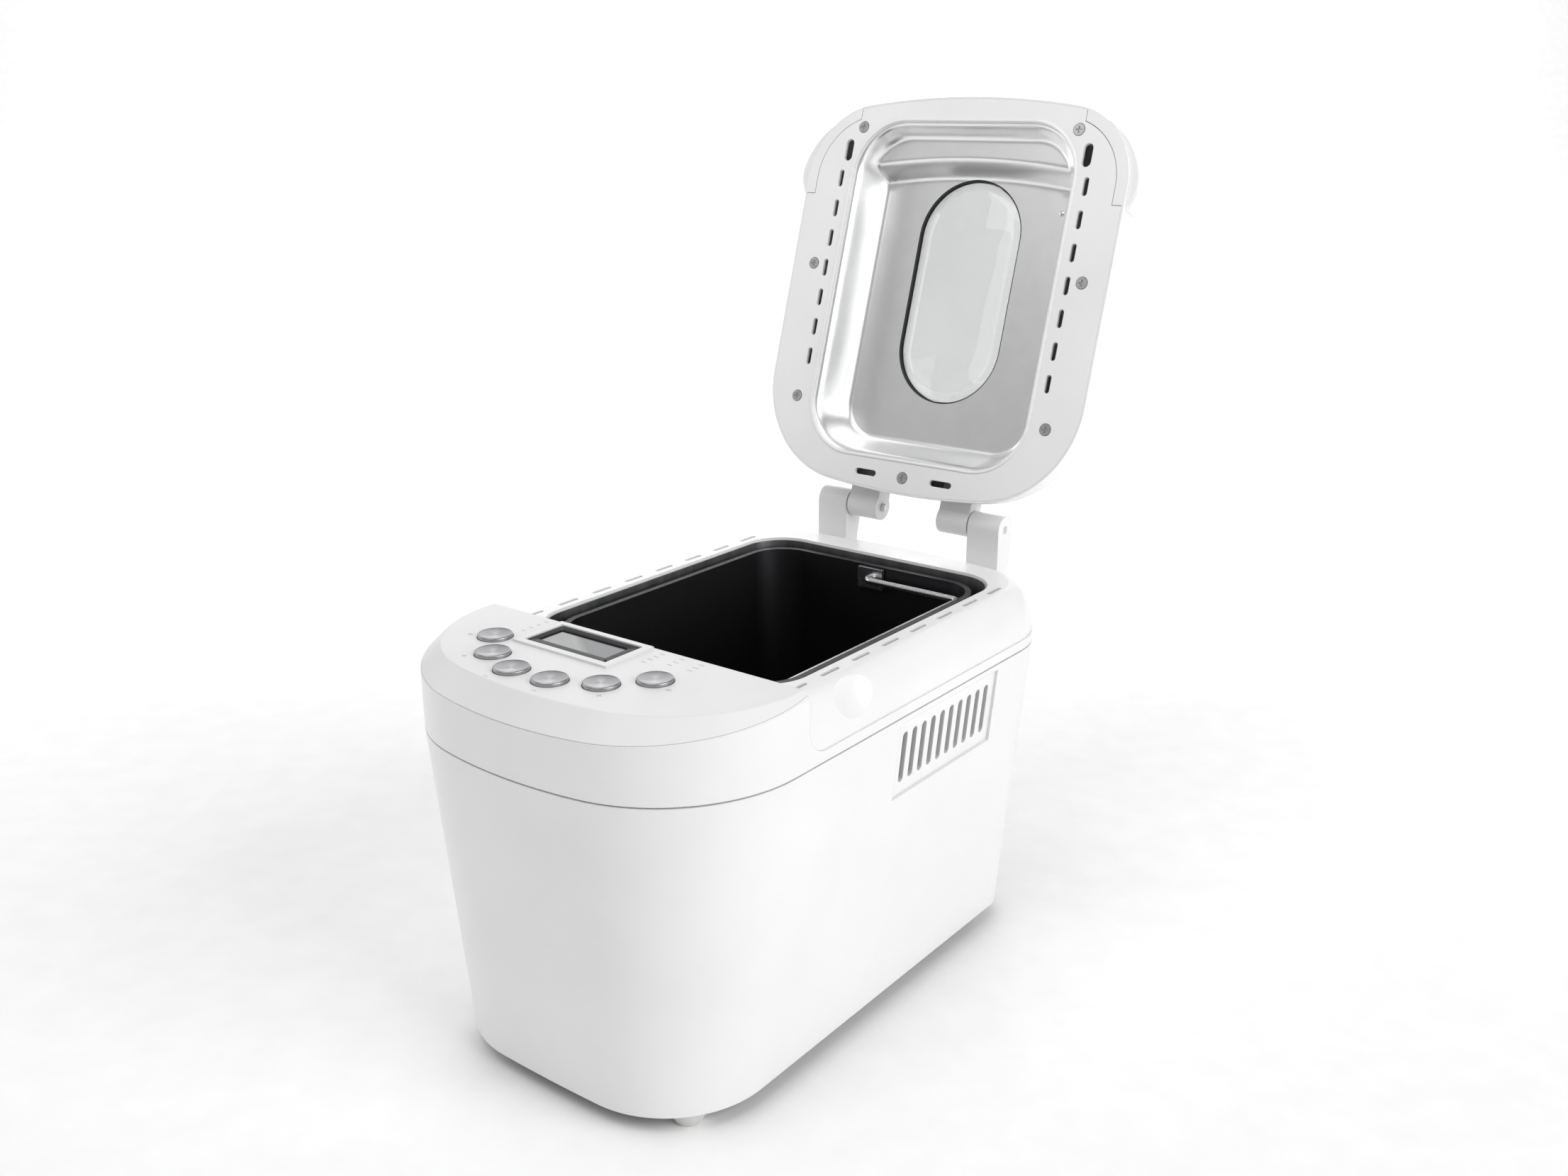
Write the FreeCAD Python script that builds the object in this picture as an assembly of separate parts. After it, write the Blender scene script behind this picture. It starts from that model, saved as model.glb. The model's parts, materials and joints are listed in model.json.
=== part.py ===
"""Bread machine with a hinged, windowed lid standing open.

Millimetres, +Z up, front (control panel) towards -Y, hinge towards +Y.
The pieces are drawn with y = 0 at the middle of the casing and z = 0 on the table.
save() then moves each one so that the origin is under the middle of the whole machine,
lid included, and writes it to its own STEP file.
"""
import FreeCAD
import Part
import math
import os

Vector = FreeCAD.Vector
UP = Vector(0, 0, 1)
ALONG_X = Vector(1, 0, 0)
ALONG_Y = Vector(0, 1, 0)

# ---- casing: plan at the seam and plan at the foot ---------------------------------------
HALF_WIDTH = 111.0
FRONT = -180.0
REAR = 180.0
FRONT_ARC = 252.0
FRONT_CORNER = 80.0
REAR_CORNER = 50.0
REAR_ARC = 420.0
DRAFT = 0.10                # side and front walls lean in by this much per mm below the seam
REAR_DRAFT = 0.12
FOOT_FRONT_ARC = 1100.0
FOOT_FRONT_CORNER = 60.0
FOOT_REAR_CORNER = 22.0
FOOT_REAR_ARC = 900.0
WALL = 2.5

BOX_MIDDLE_Y = 41.1         # the open lid reaches back past the casing, so the middle lies here

# ---- heights above the table -------------------------------------------------------------
BASE_Z = 10.0
SEAM_Z = 188.0
SEAM_GAP = 0.8
NOTCH_Z = 194.5
LEDGE_Z = 222.0
PANEL_Z = 229.3
PANEL_INSET = 12.5          # the top edge lies this far inside the front wall
PANEL_SIDE_INSET = 4.0      # and this far inside the side walls
PANEL_EDGE = 1.6            # rounding of that top edge
CAP_LINE_Z = 217.2          # parting line of the panel cap, and foot of its slope, at the front
SLOPE_DEPTH = 24.0          # height over which that slope is drawn

# ---- control panel -----------------------------------------------------------------------
PANEL_REAR = -85.0
NOTCH_RADIUS = 14.0
BUTTON_COUNT = 6
BUTTON_ARC = 64.0
BUTTON_ARC_X = -12.0
BUTTON_ARC_Y = -87.0
BUTTON_FIRST_DEG = 213.0
BUTTON_STEP_DEG = 23.4
BUTTON_RADIUS = 9.2
BUTTON_GAP = 0.35
BUTTON_PROUD = 2.0
BUTTON_DISH = 0.9
DISH_RADIUS = 50.0
BUTTON_FLANGE = 10.8
BUTTON_TRAVEL = 1.2
LCD_X0, LCD_X1 = -50.0, 10.0
LCD_Y0, LCD_Y1 = -118.5, -88.5
LCD_BORDER = 3.0
LCD_PROUD = 1.2
LCD_NECK = 1.2              # wall of the bezel inside the panel
LCD_GLASS_Z = PANEL_Z - 1.3
PCB_Z = 212.0
PCB_SHEET = 1.6
SWITCH_TOP = 217.0

# ---- oven opening and pan ----------------------------------------------------------------
OVEN_Y = 31.0               # middle of the oven and of the kneading shaft
OVEN_HALF_X = 86.5
OVEN_HALF_Y = 112.5
OVEN_CORNER = 26.0
OVEN_FLOOR_Z = 62.0
OVEN_RIM_Z = 220.5
SHEET = 1.0
PAN_HALF_X = 78.0
PAN_HALF_Y = 103.5
PAN_CORNER = 24.0
PAN_TAPER = 5.0
PAN_RIM_Z = 218.0
PAN_FLOOR_Z = 86.0
PAN_WALL = 1.6
PAN_RIM_WIDTH = 2.0
PAN_RIM_HEIGHT = 2.4

# ---- drive -------------------------------------------------------------------------------
SHAFT_RADIUS = 4.0
RUN_CLEARANCE = 0.06
CHASSIS_Z = 40.0
CHASSIS_SHEET = 2.0
CHASSIS_TOP = CHASSIS_Z + CHASSIS_SHEET
BEARING_NECK = 12.0
BUSH_RADIUS = 6.5
SHAFT_END_Z = 17.0
PULLEY_Z0, PULLEY_Z1 = 19.0, 33.0
BIG_PULLEY = 52.0
SMALL_PULLEY = 9.0
PULLEY_LIP = 2.5
PULLEY_SPOKES = 6
BELT_GAP = 0.2
BELT_SHEET = 2.0
MOTOR_Y = -122.0
MOTOR_RADIUS = 29.0
MOTOR_NOSE = 6.9
MOTOR_HEIGHT = 66.0
MOTOR_BORE = 3.0

# ---- lid, drawn closed, then swung open about its hinge ----------------------------------
HINGE_Y = 177.0
HINGE_Z = 242.8
OPEN_DEG = 107.0
LID_GAP = 0.8
LID_Z = LEDGE_Z + LID_GAP   # underside of the closed lid
LID_HALF_WIDTH = 114.5
LID_FRONT = -83.6
LID_REAR = 167.3
LID_FRONT_ARC = 520.0
LID_FRONT_CORNER = 48.0
LID_REAR_CORNER = 66.0
LID_REAR_ARC = 500.0
LID_HEIGHT = 38.0
FRAME_INSET = 1.2
FRAME_STEP = 6.5            # the inner frame is narrower by this much beside the grips
FRAME_STEP_Y = -20.0
FRAME_NOSE = 80.0           # half width of the part in front that stays full
LEDGE_GAP = 0.35            # between the frame and the shell's ledge beside it
FRAME_SHEET = 2.5
LINER_HALF_X = 79.0
LINER_Y0, LINER_Y1 = -68.0, 145.0
LINER_CORNER = 34.0
LINER_DEPTH = 27.0
LINER_SHEET = 0.8
WINDOW_Y = 33.0
WINDOW_HALF_X = 36.0
WINDOW_HALF_Y = 71.0
PIN_RADIUS = 2.5
PIN_X0 = 20.0
KNUCKLE = 8.5
ARM_X0, ARM_X1 = 23.0, 45.0
BLOCK_X0, BLOCK_X1 = 46.0, 68.0

SCREW_HEAD = 3.8
SCREW_SHANK = 1.6

FAR = 300.0                 # half size of blocks that only cut, past the edge of everything


# ---- small helpers -----------------------------------------------------------------------
def box(x0, x1, y0, y1, z0, z1):
    return Part.makeBox(x1 - x0, y1 - y0, z1 - z0, Vector(x0, y0, z0))


def cylinder(radius, x, y, z0, z1):
    return Part.makeCylinder(radius, z1 - z0, Vector(x, y, z0), UP)


def cross_cylinder(radius, x0, x1, y, z):
    return Part.makeCylinder(radius, x1 - x0, Vector(x0, y, z), ALONG_X)


def tube(outer, inner, x, y, z0, z1):
    return cylinder(outer, x, y, z0, z1).cut(cylinder(inner, x, y, z0 - 1, z1 + 1))


def mirrored(shape):
    return shape.mirror(Vector(0, 0, 0), ALONG_X)


def fused(shapes):
    whole = shapes[0]
    for shape in shapes[1:]:
        whole = whole.fuse(shape)
    return whole.removeSplitter()


def without(shape, tools):
    for tool in tools:
        shape = shape.cut(tool)
    return shape


def group(shapes):
    return Part.makeCompound(shapes)


def prism(wire, height):
    return Part.Face(wire).extrude(Vector(0, 0, height))


def loft(wires, ruled=True):
    return Part.makeLoft(wires, True, ruled)


def stadium(half_x, half_y, x, y, z):
    """Long hole outline: two straight sides and two half circles."""
    reach = half_y - half_x
    front_left = Vector(x - half_x, y - reach, z)
    front_right = Vector(x + half_x, y - reach, z)
    rear_right = Vector(x + half_x, y + reach, z)
    rear_left = Vector(x - half_x, y + reach, z)
    edges = [
        Part.Arc(front_left, Vector(x, y - half_y, z), front_right),
        Part.LineSegment(front_right, rear_right),
        Part.Arc(rear_right, Vector(x, y + half_y, z), rear_left),
        Part.LineSegment(rear_left, front_left),
    ]
    return Part.Wire([edge.toShape() for edge in edges])


def rounded_rectangle(half_x, half_y, corner, y, z):
    """Rectangle with four equal round corners, centred on x = 0."""
    edges = []
    inner_x = half_x - corner
    inner_y = half_y - corner
    turns = ((1, -1, -90), (1, 1, 0), (-1, 1, 90), (-1, -1, 180))
    ends = []
    for side_x, side_y, start in turns:
        centre = Vector(side_x * inner_x, y + side_y * inner_y, z)
        points = []
        for angle in (start, start + 45, start + 90):
            turn = math.radians(angle)
            points.append(centre + Vector(corner * math.cos(turn), corner * math.sin(turn), 0))
        ends.append(points)
    for index, points in enumerate(ends):
        following = ends[(index + 1) % 4]
        edges.append(Part.Arc(*points).toShape())
        edges.append(Part.LineSegment(points[2], following[0]).toShape())
    return Part.Wire(edges)


def bowed_plan(half_width, front, rear, front_arc, front_corner, rear_corner, rear_arc, z):
    """Plan with bowed ends: end arc, corner arc, straight side, corner arc, end arc."""
    front_centre = front + front_arc
    rear_centre = rear - rear_arc
    front_y = front_centre - math.sqrt((front_arc - front_corner) ** 2 - (half_width - front_corner) ** 2)
    rear_y = rear_centre + math.sqrt((rear_arc - rear_corner) ** 2 - (half_width - rear_corner) ** 2)

    def corner_points(corner, corner_y, arc, arc_centre):
        centre = Vector(half_width - corner, corner_y, z)
        direction = (centre - Vector(0, arc_centre, z)).normalize()
        on_end = Vector(0, arc_centre, z) + direction * arc
        on_side = Vector(half_width, corner_y, z)
        middle = (on_end + on_side) * 0.5 - centre
        return on_end, centre + middle.normalize() * corner, on_side

    end_f, mid_f, side_f = corner_points(front_corner, front_y, front_arc, front_centre)
    end_r, mid_r, side_r = corner_points(rear_corner, rear_y, rear_arc, rear_centre)

    def flip(point):
        return Vector(-point.x, point.y, point.z)

    edges = [
        Part.Arc(flip(end_f), Vector(0, front, z), end_f),
        Part.Arc(end_f, mid_f, side_f),
        Part.LineSegment(side_f, side_r),
        Part.Arc(side_r, mid_r, end_r),
        Part.Arc(end_r, Vector(0, rear, z), flip(end_r)),
        Part.Arc(flip(end_r), flip(mid_r), flip(side_r)),
        Part.LineSegment(flip(side_r), flip(side_f)),
        Part.Arc(flip(side_f), flip(mid_f), flip(end_f)),
    ]
    return Part.Wire([edge.toShape() for edge in edges])


def casing_plan(z, inset=0.0, height=None):
    """Casing outline at height z, moved inwards; above the seam the walls are upright."""
    drop = max(SEAM_Z - z, 0.0)
    share = drop / (SEAM_Z - BASE_Z)
    return bowed_plan(
        HALF_WIDTH - DRAFT * drop - inset,
        FRONT + DRAFT * drop + inset,
        REAR - REAR_DRAFT * drop - inset,
        FRONT_ARC + share * (FOOT_FRONT_ARC - FRONT_ARC) - inset,
        FRONT_CORNER + share * (FOOT_FRONT_CORNER - FRONT_CORNER) - inset,
        REAR_CORNER + share * (FOOT_REAR_CORNER - REAR_CORNER) - inset,
        REAR_ARC + share * (FOOT_REAR_ARC - REAR_ARC) - inset,
        z if height is None else height,
    )


def lid_plan(z, inset=0.0):
    return bowed_plan(
        LID_HALF_WIDTH - inset,
        LID_FRONT + inset,
        LID_REAR - inset,
        LID_FRONT_ARC - inset,
        LID_FRONT_CORNER - inset,
        LID_REAR_CORNER - inset,
        LID_REAR_ARC - inset,
        z,
    )


def pipe(points, bend, radius, closed=False):
    """Round rod through the points, with every inner corner bent to the same radius."""
    edges = []
    count = len(points)
    corners = range(count) if closed else range(1, count - 1)
    cuts = {}
    for index in corners:
        here = points[index]
        before = (points[index - 1] - here).normalize()
        after = (points[(index + 1) % count] - here).normalize()
        half = before.getAngle(after) / 2
        reach = bend / math.tan(half)
        start = here + before * reach
        end = here + after * reach
        bisector = (before + after).normalize()
        middle = here + bisector * (bend / math.sin(half) - bend)
        cuts[index] = (start, middle, end)
    if closed:
        for index in range(count):
            following = (index + 1) % count
            edges.append(Part.Arc(*cuts[index]).toShape())
            edges.append(Part.LineSegment(cuts[index][2], cuts[following][0]).toShape())
        start_point = cuts[0][2]
        direction = (cuts[1][0] - cuts[0][2]).normalize()
        edges = edges[1:] + edges[:1]
    else:
        position = points[0]
        for index in corners:
            edges.append(Part.LineSegment(position, cuts[index][0]).toShape())
            edges.append(Part.Arc(*cuts[index]).toShape())
            position = cuts[index][2]
        edges.append(Part.LineSegment(position, points[-1]).toShape())
        start_point = points[0]
        direction = (points[1] - points[0]).normalize()
    ring = Part.Wire(Part.Circle(start_point, direction, radius).toShape())
    return Part.Wire(edges).makePipeShell([ring], True, False)


# ---- casing ------------------------------------------------------------------------------
VENT_Y0, VENT_Y1 = -4.0, 98.0
VENT_TOP = 3.5              # below the seam, measured down the wall
VENT_HEIGHT = 45.0
VENT_MARGIN = 4.0
VENT_RECESS = 1.6           # the slotted plate lies this far behind the wall
VENT_SHEET = 2.6
VENT_SLOTS = 10
VENT_SLOT_WIDTH = 4.6
VENT_SLOT_HEIGHT = 30.0
DRAFT_DEG = math.degrees(math.atan(DRAFT))

INLET_X0, INLET_X1 = 38.0, 66.0
INLET_Z0, INLET_Z1 = 30.0, 52.0

BASE_SHEET = 3.0
BASE_VENTS = 8
BASE_VENT_PITCH = 12.0
FOOT_PLACES = [(-70.0, -132.0), (70.0, -132.0), (-70.0, 132.0), (70.0, 132.0)]
FOOT_RADIUS_LOW = 7.0
FOOT_RADIUS_TOP = 12.0
FOOT_RECESS = 4.2
FOOT_SCREW_HEAD = 3.6
FOOT_SCREW_SHANK = 2.0


def on_right_wall(shape):
    """Takes a shape drawn against x = 0 with z = 0 at the seam, and lays it on the sloping wall."""
    shape.Placement = FreeCAD.Placement(Vector(HALF_WIDTH, 0, SEAM_Z), FreeCAD.Rotation(ALONG_Y, DRAFT_DEG))
    return shape


def lower_body():
    outer = loft([casing_plan(BASE_Z), casing_plan(SEAM_Z)])
    inner = loft([casing_plan(BASE_Z - 1, WALL), casing_plan(SEAM_Z, WALL)])
    inner = inner.fuse(prism(casing_plan(SEAM_Z, WALL), 2))
    shell = outer.cut(inner)
    window = on_right_wall(box(-6, 4, VENT_Y0, VENT_Y1, -VENT_TOP - VENT_HEIGHT, -VENT_TOP))
    inlet = box(INLET_X0, INLET_X1, 100, 200, INLET_Z0, INLET_Z1)
    return without(shell, [window, mirrored(window), inlet])


def side_vent():
    """Recessed plate in the side wall with a row of upright slots."""
    bottom = -VENT_TOP - VENT_HEIGHT
    plate = box(-VENT_RECESS - VENT_SHEET, -VENT_RECESS, VENT_Y0, VENT_Y1, bottom, -VENT_TOP)
    pitch = (VENT_Y1 - VENT_Y0 - 2 * VENT_MARGIN) / VENT_SLOTS
    middle = (bottom - VENT_TOP) / 2
    half = VENT_SLOT_WIDTH / 2
    reach = VENT_SLOT_HEIGHT / 2 - half
    for index in range(VENT_SLOTS):
        y = VENT_Y0 + VENT_MARGIN + pitch * (index + 0.5)
        slot = box(-6, 0, y - half, y + half, middle - reach, middle + reach)
        for end in (-reach, reach):
            slot = slot.fuse(cross_cylinder(half, -6, 0, y, middle + end))
        plate = plate.cut(slot)
    return on_right_wall(plate.removeSplitter())


def base_plate():
    """Bottom plate with the screw holes of the feet and a row of cross slots for air."""
    inset = WALL + 0.1
    plate = loft([casing_plan(BASE_Z, inset), casing_plan(BASE_Z + BASE_SHEET, inset)])
    holes = [cylinder(3.0, x, y, BASE_Z - 1, BASE_Z + BASE_SHEET + 1) for x, y in FOOT_PLACES]
    for index in range(BASE_VENTS):
        slot = prism(stadium(2.0, 20.0, 0, 0, 0), BASE_SHEET + 2)
        place = Vector(0, -20.0 + BASE_VENT_PITCH * index, BASE_Z - 1)
        slot.Placement = FreeCAD.Placement(place, FreeCAD.Rotation(UP, 90))
        holes.append(slot)
    return without(plate, holes)


def foot(x, y):
    cone = Part.makeCone(FOOT_RADIUS_LOW, FOOT_RADIUS_TOP, BASE_Z, Vector(x, y, 0), UP)
    recess = cylinder(FOOT_RECESS, x, y, -1, 4.0)
    hole = cylinder(FOOT_SCREW_SHANK + 0.1, x, y, 0, BASE_Z + 1)
    return without(cone, [recess, hole])


def foot_screws():
    screws = []
    for x, y in FOOT_PLACES:
        head = cylinder(FOOT_SCREW_HEAD, x, y, 1.8, 4.0)
        shank = cylinder(FOOT_SCREW_SHANK, x, y, 4.0, BASE_Z + 9)
        screws.append(head.fuse(shank))
    return group(screws)


def slope_plan(inset, spread, z):
    """Outline of the panel's top edge, widened by spread for the foot of the slope below it."""
    return bowed_plan(
        HALF_WIDTH - PANEL_SIDE_INSET - inset + spread,
        FRONT + PANEL_INSET + inset - spread,
        REAR - inset + spread,
        FRONT_ARC - inset + spread,
        FRONT_CORNER - PANEL_SIDE_INSET - inset + spread,
        REAR_CORNER - inset + spread,
        REAR_ARC - inset + spread,
        z,
    )


def control_block(inset, top, rounding=0.0):
    """Front block: upright wall, then a slope that leans in to the flat panel top."""
    wall = prism(casing_plan(SEAM_Z, inset, SEAM_Z + SEAM_GAP), top - SEAM_Z - SEAM_GAP)
    spread = SLOPE_DEPTH * PANEL_INSET / (PANEL_Z - CAP_LINE_Z)
    slope = loft([slope_plan(inset, spread, top - SLOPE_DEPTH), slope_plan(inset, 0.0, top)])
    foot_of_slope = prism(slope_plan(inset, spread, SEAM_Z), top - SLOPE_DEPTH - SEAM_Z)
    if rounding:
        rim = [edge for edge in slope.Edges if edge.BoundBox.ZMin > top - 0.01]
        slope = slope.makeFillet(rounding, rim)
    return wall.common(fused([slope, foot_of_slope]))


def above_cap_line():
    """Half space over the slanted parting line between upper housing and panel cap."""
    span = PANEL_REAR - FRONT
    rise = PANEL_Z - WALL - CAP_LINE_Z
    tilt = math.degrees(math.atan2(rise, span))
    block = box(-FAR, FAR, -20, 400, 0, 60)
    block.Placement = FreeCAD.Placement(Vector(0, FRONT, CAP_LINE_Z), FreeCAD.Rotation(ALONG_X, tilt))
    return block


def behind_panel():
    """Space above the notch line behind the panel, with a round inner corner."""
    space = box(-FAR, FAR, PANEL_REAR, FAR, NOTCH_Z, FAR)
    centre_y = PANEL_REAR + NOTCH_RADIUS
    centre_z = NOTCH_Z + NOTCH_RADIUS
    corner = box(-FAR, FAR, PANEL_REAR, centre_y, NOTCH_Z, centre_z)
    round_tool = cross_cylinder(NOTCH_RADIUS, -FAR - 1, FAR + 1, centre_y, centre_z)
    return space.cut(corner.cut(round_tool))


def control_shell():
    """Closed shell of the front block, before it is split at the cap line."""
    outer = control_block(0.0, PANEL_Z, PANEL_EDGE)
    inner = control_block(WALL, PANEL_Z - WALL)
    inner = inner.fuse(prism(casing_plan(SEAM_Z, WALL, SEAM_Z - 1), 3))
    behind = box(-FAR, FAR, PANEL_REAR - WALL, FAR, SEAM_Z - 5, FAR)
    return outer.cut(inner.cut(behind))


def upper_housing():
    """White ring above the seam: the front block, and the low wall that carries the deck."""
    shell = control_shell().cut(above_cap_line())
    well = prism(casing_plan(SEAM_Z, WALL, SEAM_Z - 1), 60)
    well = well.common(box(-FAR, FAR, PANEL_REAR, FAR, SEAM_Z - 2, FAR))
    return without(shell, [behind_panel(), well])


def button_places():
    places = []
    for index in range(BUTTON_COUNT):
        turn = math.radians(BUTTON_FIRST_DEG + BUTTON_STEP_DEG * index)
        x = BUTTON_ARC_X + BUTTON_ARC * math.cos(turn)
        y = BUTTON_ARC_Y + BUTTON_ARC * math.sin(turn)
        places.append((x, y))
    return places


def panel_cap():
    shell = control_shell().common(above_cap_line())
    cap = shell.common(box(-FAR, FAR, FRONT - 1, PANEL_REAR, SEAM_Z, PANEL_Z + 10))
    low = PANEL_Z - 14
    high = PANEL_Z + 6
    holes = [cylinder(BUTTON_RADIUS + BUTTON_GAP, x, y, low, high) for x, y in button_places()]
    screen = box(LCD_X0, LCD_X1, LCD_Y0, LCD_Y1, low, high)
    return without(cap, holes + [screen])


def lcd_block(grow, z0, z1):
    """Block with the outline of the display opening, made larger by grow on every side."""
    return box(LCD_X0 - grow, LCD_X1 + grow, LCD_Y0 - grow, LCD_Y1 + grow, z0, z1)


def lcd_bezel():
    top = lcd_block(LCD_BORDER, PANEL_Z, PANEL_Z + LCD_PROUD)
    neck = lcd_block(0.0, PANEL_Z - WALL, PANEL_Z)
    opening = lcd_block(-LCD_NECK, PANEL_Z - 14, PANEL_Z + 6)
    behind = box(-FAR, FAR, PANEL_REAR - 1.0, FAR, PANEL_Z - 14, PANEL_Z + 6)
    return without(fused([top, neck]), [opening, behind])


def lcd_window():
    return lcd_block(-LCD_NECK, LCD_GLASS_Z, PANEL_Z + 0.5)


def lcd_module():
    return lcd_block(-2.0, PCB_Z + PCB_SHEET, LCD_GLASS_Z)


def button(x, y):
    top = PANEL_Z + BUTTON_PROUD
    under = PANEL_Z - WALL
    cap = cylinder(BUTTON_RADIUS, x, y, under - 1.0, top)
    circles = [edge for edge in cap.Edges if edge.Curve.TypeId == "Part::GeomCircle"]
    rim = [edge for edge in circles if edge.CenterOfMass.z > top - 0.1]
    cap = cap.makeFillet(0.8, rim)
    dish = Part.makeSphere(DISH_RADIUS, Vector(x, y, top + DISH_RADIUS - BUTTON_DISH))
    flange = cylinder(BUTTON_FLANGE, x, y, under - 2.0, under - 0.4)
    stem = cylinder(2.6, x, y, SWITCH_TOP + BUTTON_TRAVEL + 0.3, under - 1.0)
    return fused([cap.cut(dish), flange, stem])


def control_board():
    """Circuit board under the panel with one switch below each button."""
    top = PCB_Z + PCB_SHEET
    board = box(-84, 84, -158, -92, PCB_Z, top)
    outline = prism(casing_plan(SEAM_Z, WALL + 6.0, PCB_Z - 2), 6)
    board = board.common(outline)
    switches = [box(x - 3, x + 3, y - 3, y + 3, top, SWITCH_TOP) for x, y in button_places()]
    chip = box(20, 34, -106, -96, PCB_Z - 2.0, PCB_Z)
    plug = box(-70, -52, -104, -97, PCB_Z - 8.0, PCB_Z)
    return fused([board, chip, plug] + switches)


# ---- deck around the oven ----------------------------------------------------------------
DECK_SECTIONS = ((0.8, 0.0), (1.6, 0.30), (3.6, 0.58), (7.2, 0.83), (12.0, 0.97), (15.5, 1.0))
SCOOP_Y = -42.0
SCOOP_RADIUS = 34.0
SCOOP_DEPTH = 4.5
DECK_WALL = 2.6
AIR_SLOTS = 8
AIR_SLOT_X = 92.0
AIR_SLOT_PITCH = 27.5


def deck_volume(inset, top):
    sections = []
    for shift, share in DECK_SECTIONS:
        sections.append(casing_plan(SEAM_Z, inset + shift, NOTCH_Z + share * (top - NOTCH_Z)))
    return loft(sections, False)


def scoop(extra):
    """Finger scoops under the two lid grips."""
    reach = HALF_WIDTH - 7.0 + SCOOP_RADIUS - SCOOP_DEPTH
    height = LEDGE_Z + 4.0
    right = Part.makeSphere(SCOOP_RADIUS + extra, Vector(reach, SCOOP_Y, height))
    return right.fuse(mirrored(right))


def oven_opening(grow, z0, z1):
    half_x = OVEN_HALF_X + grow
    half_y = OVEN_HALF_Y + grow
    return prism(rounded_rectangle(half_x, half_y, OVEN_CORNER + grow, OVEN_Y, z0), z1 - z0)


def deck():
    """Raised top behind the panel, with the oven opening, air slots and finger scoops."""
    outer = deck_volume(0.0, LEDGE_Z).common(behind_panel()).cut(scoop(0.0))
    inner = deck_volume(DECK_WALL, LEDGE_Z - DECK_WALL)
    inner = inner.common(box(-FAR, FAR, PANEL_REAR + DECK_WALL, FAR, NOTCH_Z, FAR))
    shell = outer.cut(inner.cut(scoop(DECK_WALL)))
    holes = [oven_opening(0.1, SEAM_Z, LEDGE_Z + 20)]
    for index in range(AIR_SLOTS):
        y = -70.0 + AIR_SLOT_PITCH * index
        slot = prism(stadium(1.3, 7.5, AIR_SLOT_X, y, LEDGE_Z - 5), 10)
        holes += [slot, mirrored(slot)]
    return without(shell, holes)


def hinge_block(side):
    """Bracket on the rear of the deck; its back leans out from the casing up to the hinge line."""
    x0, x1 = sorted((side * BLOCK_X0, side * BLOCK_X1))
    front = HINGE_Y - KNUCKLE
    back = HINGE_Y + KNUCKLE
    low = NOTCH_Z + 8
    corners = [(front, low), (REAR - 1.2, low), (back, HINGE_Z - 8), (back, HINGE_Z), (front, HINGE_Z)]
    points = [Vector(x0, y, z) for y, z in corners]
    stem = Part.Face(Part.makePolygon(points + points[:1])).extrude(Vector(x1 - x0, 0, 0))
    knuckle = cross_cylinder(KNUCKLE, x0, x1, HINGE_Y, HINGE_Z)
    bore = cross_cylinder(PIN_RADIUS, x0 - 1, x1 + 1, HINGE_Y, HINGE_Z)
    return without(fused([stem, knuckle]), [deck_volume(0.0, LEDGE_Z), bore]).Solids[0]


def hinge_pin(side):
    x0, x1 = sorted((side * PIN_X0, side * BLOCK_X1))
    return cross_cylinder(PIN_RADIUS, x0, x1, HINGE_Y, HINGE_Z)


# ---- oven --------------------------------------------------------------------------------
OVEN_FRONT = OVEN_Y - OVEN_HALF_Y
HEATER_Z = 73.0
HEATER_RADIUS = 3.2
HEATER_BEND = 9.0
HEATER_HALF_X = 66.0
HEATER_HALF_Y = 90.0
HEATER_LEAD_X = 14.0
SENSOR_RADIUS = 3.0
SENSOR_X = 50.0
SENSOR_Z = 110.0
SEAT_Z = OVEN_FLOOR_Z + SHEET
SEAT_HEIGHT = 4.0


def along_depth(radius, x, y, z, length):
    return Part.makeCylinder(radius, length, Vector(x, y, z), ALONG_Y)


def oven_chamber():
    """Sheet metal tub; holes for the shaft, both heater ends and the sensor."""
    outer = oven_opening(0.0, OVEN_FLOOR_Z, OVEN_RIM_Z)
    inner = oven_opening(-SHEET, SEAT_Z, OVEN_RIM_Z + 1)
    holes = [cylinder(14.0, 0, OVEN_Y, OVEN_FLOOR_Z - 1, OVEN_FLOOR_Z + 2)]
    holes.append(along_depth(HEATER_RADIUS, -HEATER_LEAD_X, OVEN_FRONT - 4, HEATER_Z, 8))
    holes.append(along_depth(HEATER_RADIUS, HEATER_LEAD_X, OVEN_FRONT - 4, HEATER_Z, 8))
    holes.append(along_depth(SENSOR_RADIUS, SENSOR_X, OVEN_FRONT - 4, SENSOR_Z, 8))
    return without(outer.cut(inner), holes)


def heating_element():
    """One tube bent round the oven floor, with both ends led out through the front wall."""
    x = HEATER_HALF_X
    front = OVEN_Y - HEATER_HALF_Y
    rear = OVEN_Y + HEATER_HALF_Y
    out = OVEN_FRONT - 10.0
    route = [
        Vector(-HEATER_LEAD_X, out, HEATER_Z),
        Vector(-HEATER_LEAD_X, front, HEATER_Z),
        Vector(-x, front, HEATER_Z),
        Vector(-x, rear, HEATER_Z),
        Vector(x, rear, HEATER_Z),
        Vector(x, front, HEATER_Z),
        Vector(HEATER_LEAD_X, front, HEATER_Z),
        Vector(HEATER_LEAD_X, out, HEATER_Z),
    ]
    return pipe(route, HEATER_BEND, HEATER_RADIUS)


def temperature_sensor():
    probe = along_depth(SENSOR_RADIUS, SENSOR_X, OVEN_FRONT - 10, SENSOR_Z, 16)
    collar = along_depth(5.0, SENSOR_X, OVEN_FRONT - 3, SENSOR_Z, 3)
    return fused([probe, collar])


def pan_seat():
    return tube(44.0, 29.0, 0, OVEN_Y, SEAT_Z, SEAT_Z + SEAT_HEIGHT)


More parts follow.
